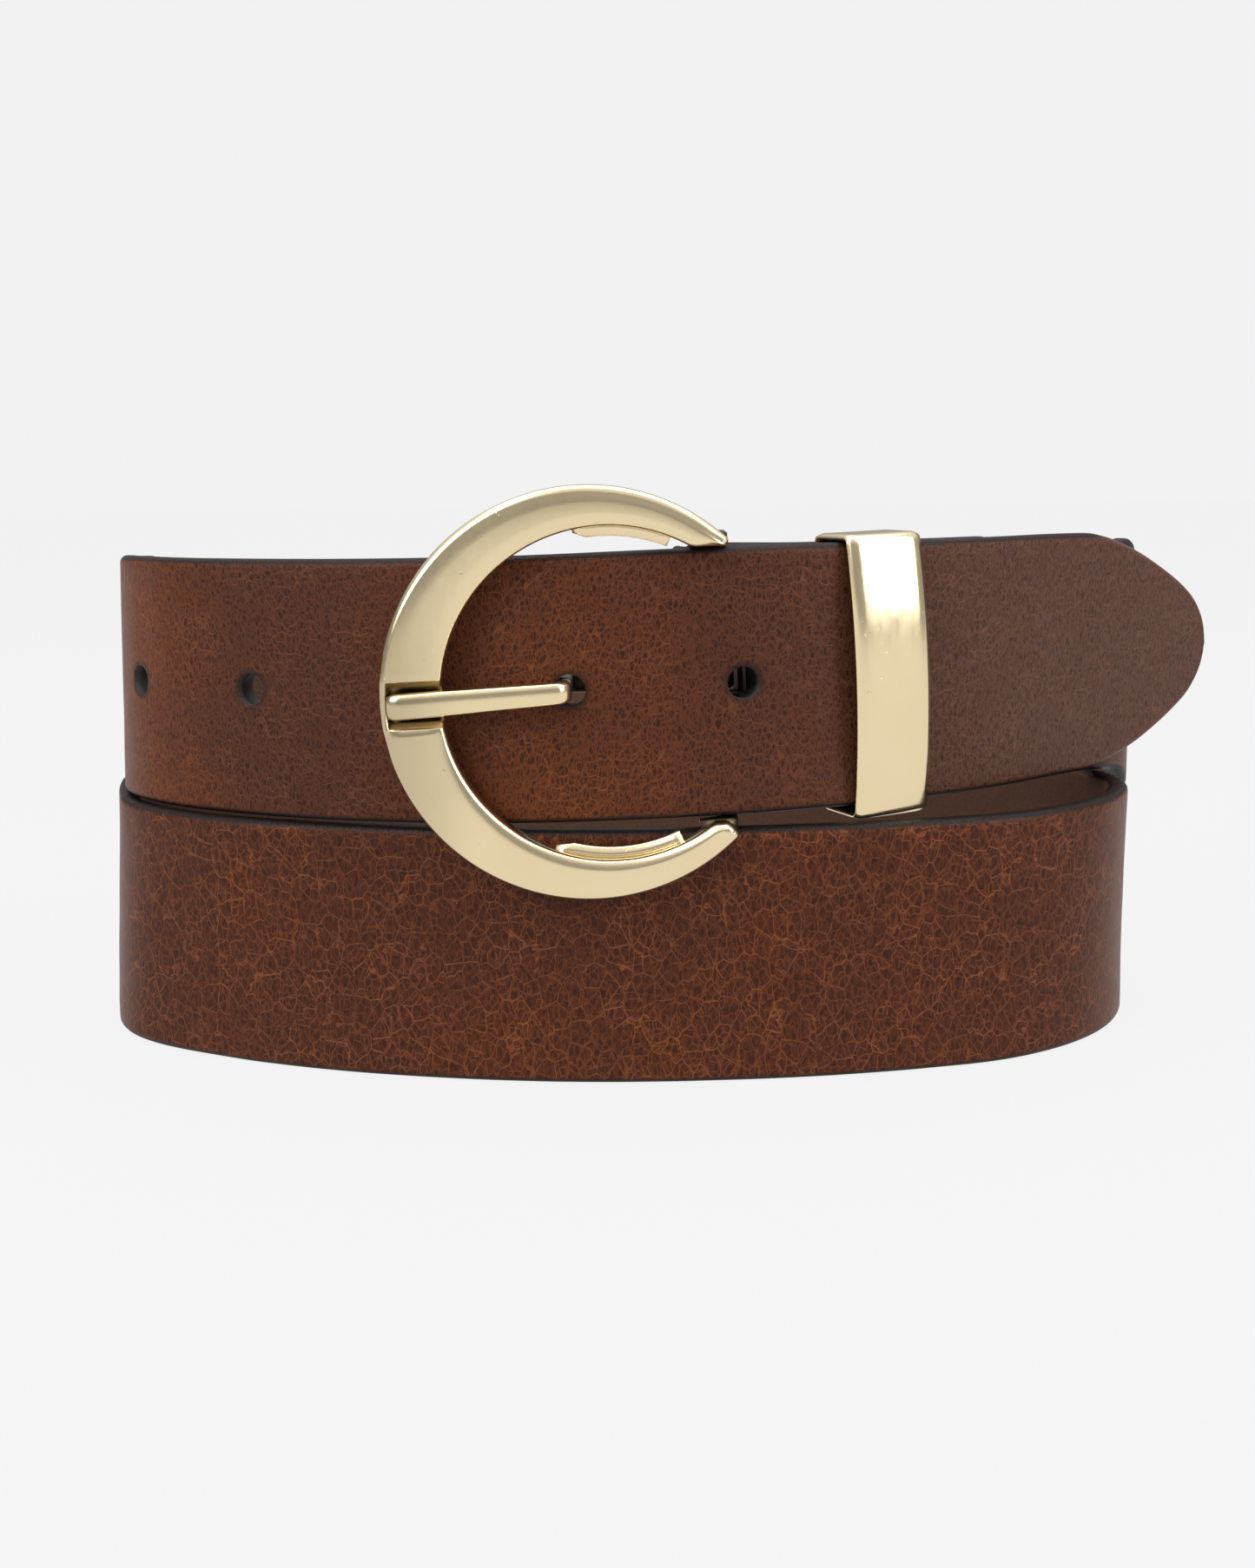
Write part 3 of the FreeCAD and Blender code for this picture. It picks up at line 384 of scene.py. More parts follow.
def leather_strip(name, rings, materials):
    """rings: (origin, up, inward, half height, half thickness, bow, length along the strap)."""
    verts = []
    rounds = []
    for origin, up, side, half_height, half_thick, bow, length in rings:
        profile, half_total = strip_profile(half_height, half_thick, bow)
        for a, b, d in profile:
            point = origin + up * a + side * b
            wave = 0.16 * noise.noise(Vector((length * 0.035, a * 0.05, 3.1)))
            wave += 0.05 * noise.noise(Vector((length * 0.16, a * 0.14, 8.7)))
            point += side * wave * (1 if b < 0 else 0.6)
            verts.append(point)
        rounds.append(([d for a, b, d in profile] + [half_total], length))
    count = len(rounds[0][0]) - 1
    faces = tube_faces(len(rings), count)
    obj = new_object(name, verts, faces, materials=materials)
    layer = obj.data.uv_layers.new(name="UVMap")
    loop = 0
    for face_index, face in enumerate(faces):
        if face_index < (len(rings) - 1) * count:
            r, k = divmod(face_index, count)
            corners = [(r, k), (r, k + 1), (r + 1, k + 1), (r + 1, k)]
        else:
            r = 0 if face_index == (len(rings) - 1) * count else len(rings) - 1
            corners = [(r, v % count) for v in face]
        for ring, k in corners:
            distances, length = rounds[ring]
            layer.data[loop].uv = (length * MM, distances[k] * MM)
            loop += 1
    fix_normals(obj)
    return obj


def bend_rings(first, last, inner, outer, start_length):
    """Rings round the bar.  Angles count from the front of the bar, round its left."""
    rings = []
    middle = (inner + outer) / 2
    steps = max(3, int(abs(last - first) / 7))
    for k in range(steps + 1):
        angle = first + (last - first) * k / steps
        a = math.radians(-90 - angle)
        radial = Vector((math.cos(a), math.sin(a), 0))
        origin = FOLD_PLACE @ (radial * middle)
        up = (FOLD_PLACE.to_3x3() @ Vector((0, 0, 1))).normalized()
        side = (FOLD_PLACE.to_3x3() @ -radial).normalized()
        length = start_length - math.radians(angle) * middle
        rings.append((origin, up, side, WIDTH / 2, (outer - inner) / 2, 0.0, length))
    return rings


def leg_ring(x, middle, length, flip=1):
    up = (FOLD_PLACE.to_3x3() @ Vector((0, 0, 1))).normalized()
    side = (FOLD_PLACE.to_3x3() @ Vector((0, flip, 0))).normalized()
    return (FOLD_PLACE @ Vector((x, middle, 0)), up, side, WIDTH / 2, HALF, 0.0, length)


def upright(heading):
    lean = math.radians(lean_at(heading))
    return Vector((0, 0, 1)) * math.cos(lean) - along(heading) * math.sin(lean)


def tip_half(length):
    beyond = length - (END - TIP_OUTLINE[-1][0])
    if beyond <= 0:
        return WIDTH / 2
    return smooth_value(TIP_OUTLINE, beyond)


def slot_block():
    reach = FOLD_OUTER + 1
    return block("slot", FOLD, (-reach, -reach, -SLOT_HALF), (SLOT_RIGHT, reach, SLOT_HALF))


def strap_bow(length):
    """How far the strap's edges flare outwards: most on the lower turn's front."""
    u = min(max((length - LOWER_FROM) / 60, 0), 1) * min(max((LOWER_TO - length) / 60, 0), 1)
    return 0.35 * u


def build_strap(leather, hole_wall_shade):
    rings = bend_rings(FOLD_TURN, 0, FOLD_MID + 0.025, FOLD_OUTER, -LEG_LENGTH)
    rings.append(leg_ring(0.02, -FOLD_MID, -LEG_LENGTH))
    rings.append(leg_ring(LEG_LENGTH / 2, -FOLD_MID, -LEG_LENGTH / 2))
    course = [c for c in COURSE if c[2] < END - TIP_OUTLINE[-1][0] - 0.5]
    taper = END - TIP_OUTLINE[-1][0]
    for beyond in [k * 1.2 for k in range(28)] + [33.4, 34.2, 34.9, 35.5, 36.0, 36.4, 36.7, 36.9, 37.0]:
        point, heading, height = place_on_course(taper + beyond - 1e-6)
        course.append((point, heading, taper + beyond))
    for i, (point, heading, length) in enumerate(course):
        before = course[max(i - 1, 0)][2]
        after = course[min(i + 1, len(course) - 1)][2]
        climb = (height_at(after) - height_at(before)) / max(after - before, 1e-6)
        half = min(WIDTH / 2 * math.sqrt(1 + climb**2), tip_half(length) * math.sqrt(1 + climb**2))
        origin = Vector((point.x, point.y, height_at(length) + WIDTH / 2))
        tilt = math.radians(smooth_value(BANK_POINTS, length))
        up = upright(heading) * math.cos(tilt) + inward(heading) * math.sin(tilt)
        side = inward(heading) * math.cos(tilt) - upright(heading) * math.sin(tilt)
        rings.append((origin, up, side, half, HALF, strap_bow(length), length))
    strap = leather_strip("strap_skin", rings, [leather, hole_wall_shade])
    cutters = [slot_block()]
    for count in HOLE_COUNTS:
        place = facing(USED_HOLE + count * HOLE_PITCH)
        cutters.append(cylinder("hole", place, HOLE_RADIUS, -2, THICK + 2, [hole_wall_shade]))
    for length in STUD_LENGTHS:
        place = facing(length - LEG_LENGTH)
        cutters.append(cylinder("seat", place, STUD_SEAT_RADIUS, -0.4, STUD_SEAT_DEPTH, [hole_wall_shade]))
        cutters.append(cylinder("seat_shank", place, STUD_SHANK_RADIUS, -0.4, THICK + 1, [hole_wall_shade]))
    cut(strap, cutters)
    return strap


def tab_offset(length):
    near = 2 * FOLD_MID
    far = THICK + TAB_GAP
    u = min(max(length / TAB_SETTLE, 0.0), 1.0)
    return near + (far - near) * (1 - math.cos(math.pi * u)) / 2


def build_tab(leather, hole_wall_shade):
    bend = bend_rings(FOLD_TURN - FOLD_LAP, 180, FOLD_INNER, FOLD_MID - 0.025, 0)
    rings = [ring[:-1] + (TAB_GRAIN_START,) for ring in bend]
    rings.append(leg_ring(0.02, FOLD_MID, TAB_GRAIN_START - LEG_LENGTH, -1))
    rings.append(leg_ring(LEG_LENGTH / 2, FOLD_MID, TAB_GRAIN_START - LEG_LENGTH / 2, -1))
    for point, heading, length in COURSE:
        if length > TAB_LENGTH:
            break
        origin = point + inward(heading) * tab_offset(length)
        origin.z = height_at(length) + WIDTH / 2
        from_end = TAB_LENGTH - length
        half = WIDTH / 2
        if from_end < TAB_CORNER:
            half -= TAB_CORNER - math.sqrt(max(TAB_CORNER**2 - (TAB_CORNER - from_end) ** 2, 0))
        rings.append((origin, upright(heading), -inward(heading), half, HALF, 0.0,
                      TAB_GRAIN_START + length))
    tab = leather_strip("tab_skin", rings, [leather, hole_wall_shade])
    cutters = [slot_block()]
    for length in STUD_LENGTHS:
        place = facing(length - LEG_LENGTH)
        cutters.append(cylinder("rivet", place, STUD_SHANK_RADIUS, THICK + 0.5, 4 * THICK, [hole_wall_shade]))
    cut(tab, cutters)
    return tab


# --------------------------------------------------------------------------------------------
# Buckle, prong and keeper
# --------------------------------------------------------------------------------------------
OUTER_RADIUS = 30.6
OUTER_BACK = 18.8
INNER_RADIUS = 24.6
INNER_BACK = 15.7
RING_TO_BAR = 8.9
RING_THICK = 4.0
ARM_TOP = 20.25
ARM_LOW = 20.6
RING_DROP = 0.7
ARM_END = 2.0
NOTCH_HALF = 3.5
NOTCH_DEPTH = 2.2
ARM_ANGLE = 51.3                     # where both arms end, round the opening from its right
NOTCH_ANGLE = 166.0                  # where the band starts to turn level beside the notch
BAND_STEPS = 57
LEDGE_START_TOP = 100
LEDGE_START_LOW = 112
LEDGE_END = 66
LEDGE_STEPS = 15
LEDGE_REACH = 1.5
LUG_THICK = 1.5
LUG_LOWS = (20.4, -22.15)


def ring_ends(angle):
    """Inner and outer points (x, z) of the ring on a ray from the middle of its opening."""
    a = math.radians(angle)
    c, s = math.cos(a), math.sin(a)
    r_in = INNER_RADIUS
    level = ARM_TOP + RING_DROP if s > 0 else ARM_LOW - RING_DROP
    if abs(s) * r_in < level and c > 0:
        r_in = level / abs(s)
    shift = OUTER_BACK - INNER_BACK
    b = c * shift
    r_out = -b + math.sqrt(b * b - shift**2 + OUTER_RADIUS**2)
    return (Vector((-INNER_BACK + r_in * c, r_in * s)), Vector((-INNER_BACK + r_out * c, r_out * s)))


def level_ends(z):
    return (Vector((-INNER_BACK - math.sqrt(INNER_RADIUS**2 - z * z), z)),
            Vector((-OUTER_BACK - math.sqrt(OUTER_RADIUS**2 - z * z), z)))


def ring_section(inner, outer, sink):
    """Points round one section of the ring: (x, z) on the band and depth behind its front."""
    width = (outer - inner).length
    across = (outer - inner) / width
    rim = min(0.9, width * 0.3)
    lip = min(0.7, width * 0.22)
    points = [(0.35, RING_THICK), (0.0, RING_THICK - 0.4), (0.0, 0.75 + lip * 0.5), (lip * 0.3, 0.42),
              (lip, 0.2)]
    for k in range(1, 9):
        f = k / 9
        points.append((lip + (width - lip - 1.2) * f, 0.2 - 0.34 * math.sin(math.pi * f) ** 0.8))
    points += [(width - 1.05, 0.14), (width - rim, 0.16), (width - rim * 0.55, 0.32),
               (width - rim * 0.12, 0.72), (width, 1.25), (width, RING_THICK - 0.5), (width - 0.45, RING_THICK)]
    made = []
    for w, depth in points:
        at = inner + across * w
        sunk = sink if w < width - 1.0 and depth < RING_THICK - 0.5 else 0.0
        made.append((at, max(depth, sunk + 0.12 * depth)))
    return made


def build_ring():
    lines = []
    for k in range(BAND_STEPS + 1):
        lines.append((ring_ends(ARM_ANGLE + (NOTCH_ANGLE - ARM_ANGLE) * k / BAND_STEPS), 0.0))
    start_in, start_out = ring_ends(NOTCH_ANGLE)
    for u in (0.35, 0.7):
        level_in, level_out = level_ends(NOTCH_HALF + 0.12)
        lines.append(((start_in.lerp(level_in, u), start_out.lerp(level_out, u)), 0.0))
    notch = [(NOTCH_HALF + 0.12, 0.0), (NOTCH_HALF, 0.12), (NOTCH_HALF - 0.1, 0.75),
             (NOTCH_HALF - 0.75, 0.85), (NOTCH_HALF - 0.9, NOTCH_DEPTH)]
    upper = [(level_ends(z), sink) for z, sink in notch]
    lines += upper
    lines.append((level_ends(0.0), NOTCH_DEPTH))
    for (a, b), sink in reversed(lines[BAND_STEPS + 1:-1]):
        lines.append(((Vector((a.x, -a.y)), Vector((b.x, -b.y))), sink))
    for k in range(BAND_STEPS, -1, -1):
        lines.append((ring_ends(-ARM_ANGLE - (NOTCH_ANGLE - ARM_ANGLE) * k / BAND_STEPS), 0.0))
    front = -(RING_TO_BAR + RING_THICK)
    sections = [ring_section(a, b, sink) for (a, b), sink in lines]

    def rounded_end(section, sign):
        centre = sum((p for p, depth in section), Vector((0, 0))) / len(section)
        made = []
        for scale, push in ((0.92, 0.45), (0.66, 0.85), (0.3, 1.05)):
            made.append([(centre + (p - centre) * scale + Vector((push * 0.75, -sign * push * 0.35)),
                          RING_THICK / 2 + (depth - RING_THICK / 2) * scale) for p, depth in section])
        return made

    sections = list(reversed(rounded_end(sections[0], 1))) + sections + rounded_end(sections[-1], -1)
    verts = [RING @ Vector((p.x, front + depth, p.y - RING_DROP))
             for section in sections for p, depth in section]
    return verts, tube_faces(len(sections), len(sections[0]))


def sweep_box(verts, faces, lines):
    """Adds a box swept through lists of four corners."""
    base = len(verts)
    for corners in lines:
        verts.extend(corners)
    for face in tube_faces(len(lines), 4):
        faces.append(tuple(base + k for k in face))


def build_buckle(metal, shaded):
    """Ring, its two rear ledges and the two lugs; the lugs take the second metal, darker and rougher, as
    painted shade.
    """
    verts, faces = build_ring()
    back = -RING_TO_BAR
    for sign, start in ((1, LEDGE_START_TOP), (-1, LEDGE_START_LOW)):
        lines = []
        for k in range(LEDGE_STEPS + 1):
            a = math.radians(start + (LEDGE_END - start) * k / LEDGE_STEPS)
            inner = INNER_RADIUS - LEDGE_REACH * min(1.0, 0.35 + k / 3)
            outer = INNER_RADIUS + 1.0
            corners = [(inner, back - 0.02), (outer, back - 0.02), (outer, back - 1.4), (inner, back - 1.4)]
            lines.append([RING @ Vector((-INNER_BACK + r * math.cos(a), y,
                                         sign * r * math.sin(a) - RING_DROP)) for r, y in corners])
        sweep_box(verts, faces, lines)
    first_lug_face = len(faces)
    outline = [(-3.0, -9.4), (1.2, -9.4), (2.0, -8.9), (2.6, -8.3), (2.6, 1.3), (2.3, 2.1), (1.3, 2.85),
               (0, 3.0), (-1.5, 2.9), (-2.6, 2.2), (-3.0, 1.3)]
    for low in LUG_LOWS:
        base = len(verts)
        for z in (low, low + LUG_THICK):
            for x, y in outline:
                verts.append(RING @ Vector((x, y, z)))
        for face in tube_faces(2, len(outline)):
            faces.append(tuple(base + k for k in face))
    buckle = new_object("buckle_ring", verts, faces, materials=[metal, shaded])
    # the lugs take the second slot: painted shade
    for polygon in buckle.data.polygons[first_lug_face:]:
        polygon.material_index = 1
    fix_normals(buckle)
    return buckle


PRONG_FRONT = -12.1                  # middle of the front part, in front of the bar
PRONG_DROP = -22.3                   # middle of the step through the hole
PRONG_WIDE = 3.9
PRONG_NARROW = 3.3
PRONG_AT_TIP = -0.9
PRONG_HIDDEN = 8.6                 # behind this the prong takes painted shade, where it goes into the hole
PRONG_AT_HOLE = 0.05


def prong_path():
    """Middle line (x, y) of the prong from its tip to the bar, with thickness at each point."""
    front = PRONG_FRONT
    drop = PRONG_DROP
    made = [(-48.1, front + 0.45, 1.2), (-47.9, front + 0.2, 1.9), (-47.3, front, 2.4), (-46.3, front, 2.6)]
    made += [(-46.0 + (21.0 * k / 12), front, 2.6) for k in range(13)]
    for k in range(1, 8):
        a = math.radians(90 * k / 8)
        made.append((drop - 1.6 + 1.6 * math.sin(a), front + 1.6 - 1.6 * math.cos(a), 2.6 - 0.35 * k / 8))
    made += [(drop, front + 1.6 + (0 - 1.6 - front - 1.6) * k / 6, 2.25) for k in range(7)]
    for k in range(1, 8):
        a = math.radians(90 * k / 8)
        made.append((drop + 1.6 - 1.6 * math.cos(a), -1.6 + 1.6 * math.sin(a), 2.25 + 0.45 * k / 8))
    made += [(drop + 1.6 + (-3.0 - drop - 1.6) * k / 8, 0.0, 2.7) for k in range(9)]
    return made


def build_prong(metal, shaded):
    path = prong_path()
    verts = []
    points = 20
    for i, (x, y, thick) in enumerate(path):
        x0, y0 = path[max(i - 1, 0)][:2]
        x1, y1 = path[min(i + 1, len(path) - 1)][:2]
        direction = Vector((x1 - x0, y1 - y0)).normalized()
        normal = Vector((-direction.y, direction.x))
        u = min(max((x + 40.0) / 18.0, 0.0), 1.0)
        width = PRONG_WIDE + (PRONG_NARROW - PRONG_WIDE) * u
        if i == 0:
            width *= 0.72
        elif i == 1:
            width *= 0.88
        middle = PRONG_AT_HOLE + (PRONG_AT_TIP - PRONG_AT_HOLE) * min(max((-22.0 - x) / 26.0, 0.0), 1.0)
        for k in range(points):
            a = 2 * math.pi * k / points
            c, s = math.cos(a), math.sin(a)
            power = 0.62
            off = math.copysign(abs(c) ** power, c) * thick / 2
            z = math.copysign(abs(s) ** power, s) * width / 2
            verts.append(RING @ Vector((x + normal.x * off, y + normal.y * off, middle + z)))
    faces = tube_faces(len(path), points)
    # eye round the bar
    base = len(verts)
    section = []
    outer, inner, half = 3.25, BAR_RADIUS + 0.08, PRONG_NARROW / 2 + 0.2
    for r, z in ((inner, -half + 0.3), (inner + 0.3, -half), (outer - 0.4, -half), (outer, -half + 0.4),
                 (outer, half - 0.4), (outer - 0.4, half), (inner + 0.3, half), (inner, half - 0.3)):
        section.append((r, z))
    turns = 40
    for t in range(turns):
        a = 2 * math.pi * t / turns
        for r, z in section:
            verts.append(RING @ Vector((r * math.cos(a), r * math.sin(a), z)))
    for face in tube_faces(turns, len(section), closed=True):
        faces.append(tuple(base + k for k in face))
    prong = new_object("prong_shape", verts, faces, materials=[metal, shaded])
    # painted shade on the prong inside the hole and behind the strap
    into_hole = (RING @ Vector((0, -PRONG_HIDDEN, 0))).y * MM
    for polygon in prong.data.polygons:
        if polygon.center.y > into_hole:
            polygon.material_index = 1
    fix_normals(prong)
    return prong


KEEPER_HEADING = 24.9
KEEPER_WIDTH = 13.0
KEEPER_HEIGHT = 62.05
KEEPER_ROLL = 1.5
KEEPER_INNER_HALF = 20.7
KEEPER_WALL = 0.95
KEEPER_BOW = 1.6
KEEPER_SHEAR = 0.026


def keeper_matrix():
    point = BILLET_FRONT + run_vector(0, *BILLET_RIGHT[0])
    point += run_vector(KEEPER_ARC_START, BILLET_RIGHT[1][0], KEEPER_HEADING - KEEPER_ARC_START)
    point.z = KEEPER_HEIGHT
    turn = Matrix.Rotation(math.radians(KEEPER_HEADING), 4, "Z")
    return Matrix.Translation(point) @ turn @ Matrix.Rotation(math.radians(-KEEPER_ROLL), 4, "Y")


def build_keeper(metal):
    place = keeper_matrix()
    y0, y1 = -0.35, 2 * THICK + LAYER_GAP + 0.32
    half = KEEPER_INNER_HALF
    radius = 0.55
    # inner outline (y, z) with outward normals, starting at the front's lower corner
    outline = []
    corners = [((y0 + radius, half - radius), 90), ((y0 + radius, -half + radius), 180),
               ((y1 - radius, -half + radius), 270), ((y1 - radius, half - radius), 0)]
    for (cy, cz), start in corners:
        for k in range(6):
            a = math.radians(start + 90 * k / 5)
            outline.append(((cy + radius * math.cos(a), cz + radius * math.sin(a)),
                            (math.cos(a), math.sin(a))))
        if start == 90:
            for k in range(1, 24):
                z = half - radius - (2 * half - 2 * radius) * k / 24
                bow = KEEPER_BOW * (1 - (z / (half - radius)) ** 2)
                slope = -2 * KEEPER_BOW * z / (half - radius) ** 2
                normal = Vector((-1.0, -slope)).normalized()
                outline.append(((y0 - bow, z), (normal.x, normal.y)))
    across = 14
    rings = []
    for (y, z), (ny, nz) in outline:
        front = max(-ny, 0.0) ** 1.5
        ring = []
        for k in range(across + 1):
            f = -1 + 2 * k / across
            x = f * KEEPER_WIDTH / 2
            crown = (1 - abs(f) ** 3.2) * 0.45 * front
            ends = 1.0 if abs(f) < 0.999 else 0.62
            t = (KEEPER_WALL - 0.05) * ends + crown
            ring.append(Vector((x, y + ny * t, z + nz * t)))
        for k in range(across, -1, -1):
            f = -1 + 2 * k / across
            ring.append(Vector((f * (KEEPER_WIDTH / 2 - 0.15), y, z)))
        rings.append([Vector((v.x - KEEPER_SHEAR * v.z, v.y, v.z)) for v in ring])
    verts = [place @ v for ring in rings for v in ring]
    keeper = new_object("keeper_loop", verts, tube_faces(len(rings), len(rings[0]), closed=True),
                        materials=[metal])
    fix_normals(keeper)
    return keeper


# --------------------------------------------------------------------------------------------
# Materials
# --------------------------------------------------------------------------------------------
class Shader:
    """Short names for building a node material."""

    def __init__(self, name):
        self.material = bpy.data.materials.new(name)
        self.material.use_nodes = True
        self.tree = self.material.node_tree
        self.bsdf = self.tree.nodes["Principled BSDF"]

    def node(self, kind, settings=None, **inputs):
        node = self.tree.nodes.new(kind)
        for key, value in (settings or {}).items():
            setattr(node, key, value)
        for key, value in inputs.items():
            self.feed(node, key.replace("_", " "), value)
        return node

    def feed(self, node, key, value):
        socket = node.inputs[int(key[1:])] if key[0] == "#" else node.inputs[key]
        if isinstance(value, bpy.types.NodeSocket):
            self.tree.links.new(value, socket)
        else:
            socket.default_value = value

    def math(self, operation, a, b=0.0, clamp=False):
        node = self.node("ShaderNodeMath", {"operation": operation, "use_clamp": clamp})
        self.feed(node, "#0", a)
        self.feed(node, "#1", b)
        return node.outputs[0]

    def step(self, value, low, high, to_low=0.0, to_high=1.0):
        node = self.node("ShaderNodeMapRange", {"interpolation_type": "SMOOTHSTEP"})
        for key, v in (("Value", value), ("From Min", low), ("From Max", high), ("To Min", to_low),
                       ("To Max", to_high)):
            self.feed(node, key, v)
        return node.outputs["Result"]

    def mix(self, factor, a, b):
        node = self.node("ShaderNodeMix", {"data_type": "RGBA"})
        self.feed(node, "#0", factor)
        self.feed(node, "#6", a)
        self.feed(node, "#7", b)
        return node.outputs[2]

    def noise(self, vector, scale, detail=3.0, rough=0.5):
        node = self.node("ShaderNodeTexNoise", None, Scale=scale, Detail=detail, Roughness=rough)
        self.feed(node, "Vector", vector)
        return node.outputs["Fac"]

    def stretch(self, vector, factors):
        node = self.node("ShaderNodeVectorMath", {"operation": "MULTIPLY"})
        self.feed(node, "#0", vector)
        self.feed(node, "#1", factors)
        return node.outputs[0]


def leather_material():
    sh = Shader("leather")
    uv = sh.node("ShaderNodeUVMap", {"uv_map": "UVMap"}).outputs[0]
    split = sh.node("ShaderNodeSeparateXYZ", None, Vector=uv)
    u, v = split.outputs[0], split.outputs[1]
    mm = sh.stretch(uv, (1000.0, 1000.0, 1000.0))

    warp = sh.node("ShaderNodeTexNoise", None, Scale=0.45, Detail=3.0)
    sh.feed(warp, "Vector", mm)
    shift = sh.node("ShaderNodeVectorMath", {"operation": "SUBTRACT"})
    sh.feed(shift, "#0", warp.outputs["Color"])
    sh.feed(shift, "#1", (0.5, 0.5, 0.5))
    bent = sh.node("ShaderNodeVectorMath", {"operation": "MULTIPLY_ADD"})
    sh.feed(bent, "#0", shift.outputs[0])
    sh.feed(bent, "#1", (0.7, 0.7, 0.7))
    sh.feed(bent, "#2", mm)
    bent = bent.outputs[0]

    def cracks(size, tall, width):
        cell = sh.node("ShaderNodeTexVoronoi", {"feature": "DISTANCE_TO_EDGE"}, Scale=1.0)
        sh.feed(cell, "Vector", sh.stretch(bent, (1 / size, 1 / (size * tall), 1.0)))
        return sh.step(cell.outputs["Distance"], 0.0, width, 1.0, 0.0)

    lower = sh.math("MULTIPLY", sh.step(u, (LOWER_FROM - 20) * MM, (LOWER_FROM + 20) * MM),
                    sh.step(u, (LOWER_TO - 20) * MM, (LOWER_TO + 20) * MM, 1.0, 0.0))
    big = cracks(2.6, 1.5, 0.042)
    small = cracks(1.1, 1.7, 0.09)
    tiny = cracks(0.62, 1.9, 0.2)
    fade = sh.step(sh.noise(mm, 0.11, 3.0), 0.38, 0.62)

    def faded(lines, swing, least):
        return sh.math("MULTIPLY", lines, sh.math("ADD", sh.math("MULTIPLY", fade, swing), least))

    low_veins = sh.math("MAXIMUM", faded(big, 0.45, 0.55), faded(small, 0.2, 0.3))
    up_veins = sh.math("MAXIMUM", faded(small, 0.3, 0.35), sh.math("MULTIPLY", tiny, 0.35))
    veins = sh.math("ADD", sh.math("MULTIPLY", low_veins, lower),
                    sh.math("MULTIPLY", up_veins, sh.math("SUBTRACT", 1.0, lower)))

    cloud = sh.noise(sh.stretch(mm, (0.05, 0.035, 1.0)), 1.0, 4.0, 0.55)
    grain = sh.noise(sh.stretch(mm, (1.25, 0.5, 1.0)), 1.3, 5.0, 0.7)

    def bump_at(middle, half):
        near = sh.math("ABSOLUTE", sh.math("SUBTRACT", u, middle * MM))
        return sh.step(near, 0.0, half * MM, 1.0, 0.0)

    left_patch = bump_at(course_length(668), 30)
    hole_patch = bump_at(USED_HOLE - 6, 36)
    warm = sh.math("ADD", sh.math("MULTIPLY", left_patch, 0.8), sh.math("MULTIPLY", hole_patch, 0.55))
    warm = sh.math("ADD", warm, sh.math("MULTIPLY", sh.math("SUBTRACT", cloud, 0.5), 1.3), True)
    warm = sh.math("ADD", warm, sh.math("MULTIPLY", lower, 0.35), True)
    base = sh.mix(warm, (0.042, 0.0115, 0.0058, 1), (0.082, 0.0185, 0.0040, 1))
    base = sh.mix(sh.math("MULTIPLY", hole_patch, 0.7), base, (0.046, 0.0105, 0.0022, 1))
    # painted sheen: beyond the used hole the leather and its veins turn greyer, standing for reflected light
    painted_sheen = sh.math("MULTIPLY", sh.step(u, (USED_HOLE + 25) * MM, (USED_HOLE + 75) * MM), 0.8)
    base = sh.mix(painted_sheen, base, (0.068, 0.030, 0.0195, 1))
    base = sh.mix(sh.math("MULTIPLY", sh.step(grain, 0.42, 0.60), 0.68), base, (0.014, 0.0045, 0.003, 1))
    vein_colour = sh.mix(warm, (0.15, 0.050, 0.022, 1), (0.27, 0.072, 0.014, 1))
    vein_colour = sh.mix(painted_sheen, vein_colour, (0.16, 0.072, 0.042, 1))
    colour = sh.mix(sh.math("MULTIPLY", veins, 0.72), base, vein_colour)

    # painted sheen: greyer where the leather turns away from the camera
    sheen_facing = sh.node("ShaderNodeLayerWeight", None, Blend=0.5).outputs["Facing"]
    colour = sh.mix(sh.step(sheen_facing, 0.42, 0.95, 0.0, 0.5), colour, (0.135, 0.068, 0.050, 1))

    across = sh.math("ABSOLUTE", v)
    edge = sh.step(across, (WIDTH / 2 - 1.1) * MM, (WIDTH / 2 - 0.35) * MM)
    inner = sh.step(across, (WIDTH / 2 + 2.6) * MM, (WIDTH / 2 + 3.2) * MM)
    flesh_fibre = sh.noise(mm, 1.6, 6.0, 0.7)
    flesh = sh.mix(flesh_fibre, (0.055, 0.026, 0.016, 1), (0.13, 0.068, 0.045, 1))
    colour = sh.mix(edge, colour, (0.012, 0.007, 0.006, 1))
    colour = sh.mix(inner, colour, flesh)

    # a darker ring round each hole on the billet
    turns = sh.math("DIVIDE", sh.math("SUBTRACT", u, USED_HOLE * MM), HOLE_PITCH * MM)
    nearest = sh.math("SUBTRACT", turns, sh.math("ROUND", turns))
    near_u = sh.math("MULTIPLY", nearest, HOLE_PITCH * MM)
    reach = sh.math("SQRT", sh.math("ADD", sh.math("MULTIPLY", near_u, near_u), sh.math("MULTIPLY", v, v)))
    billet = sh.step(u, (USED_HOLE - 3.5 * HOLE_PITCH) * MM, (USED_HOLE - 3.4 * HOLE_PITCH) * MM)
    billet = sh.math("MULTIPLY", billet, sh.step(u, (USED_HOLE + 1.4 * HOLE_PITCH) * MM,
                                                (USED_HOLE + 1.5 * HOLE_PITCH) * MM, 1.0, 0.0))
    rim = sh.step(reach, 2.5 * MM, 3.6 * MM, 0.75, 0.0)
    colour = sh.mix(sh.math("MULTIPLY", rim, billet), colour, (0.02, 0.008, 0.005, 1))

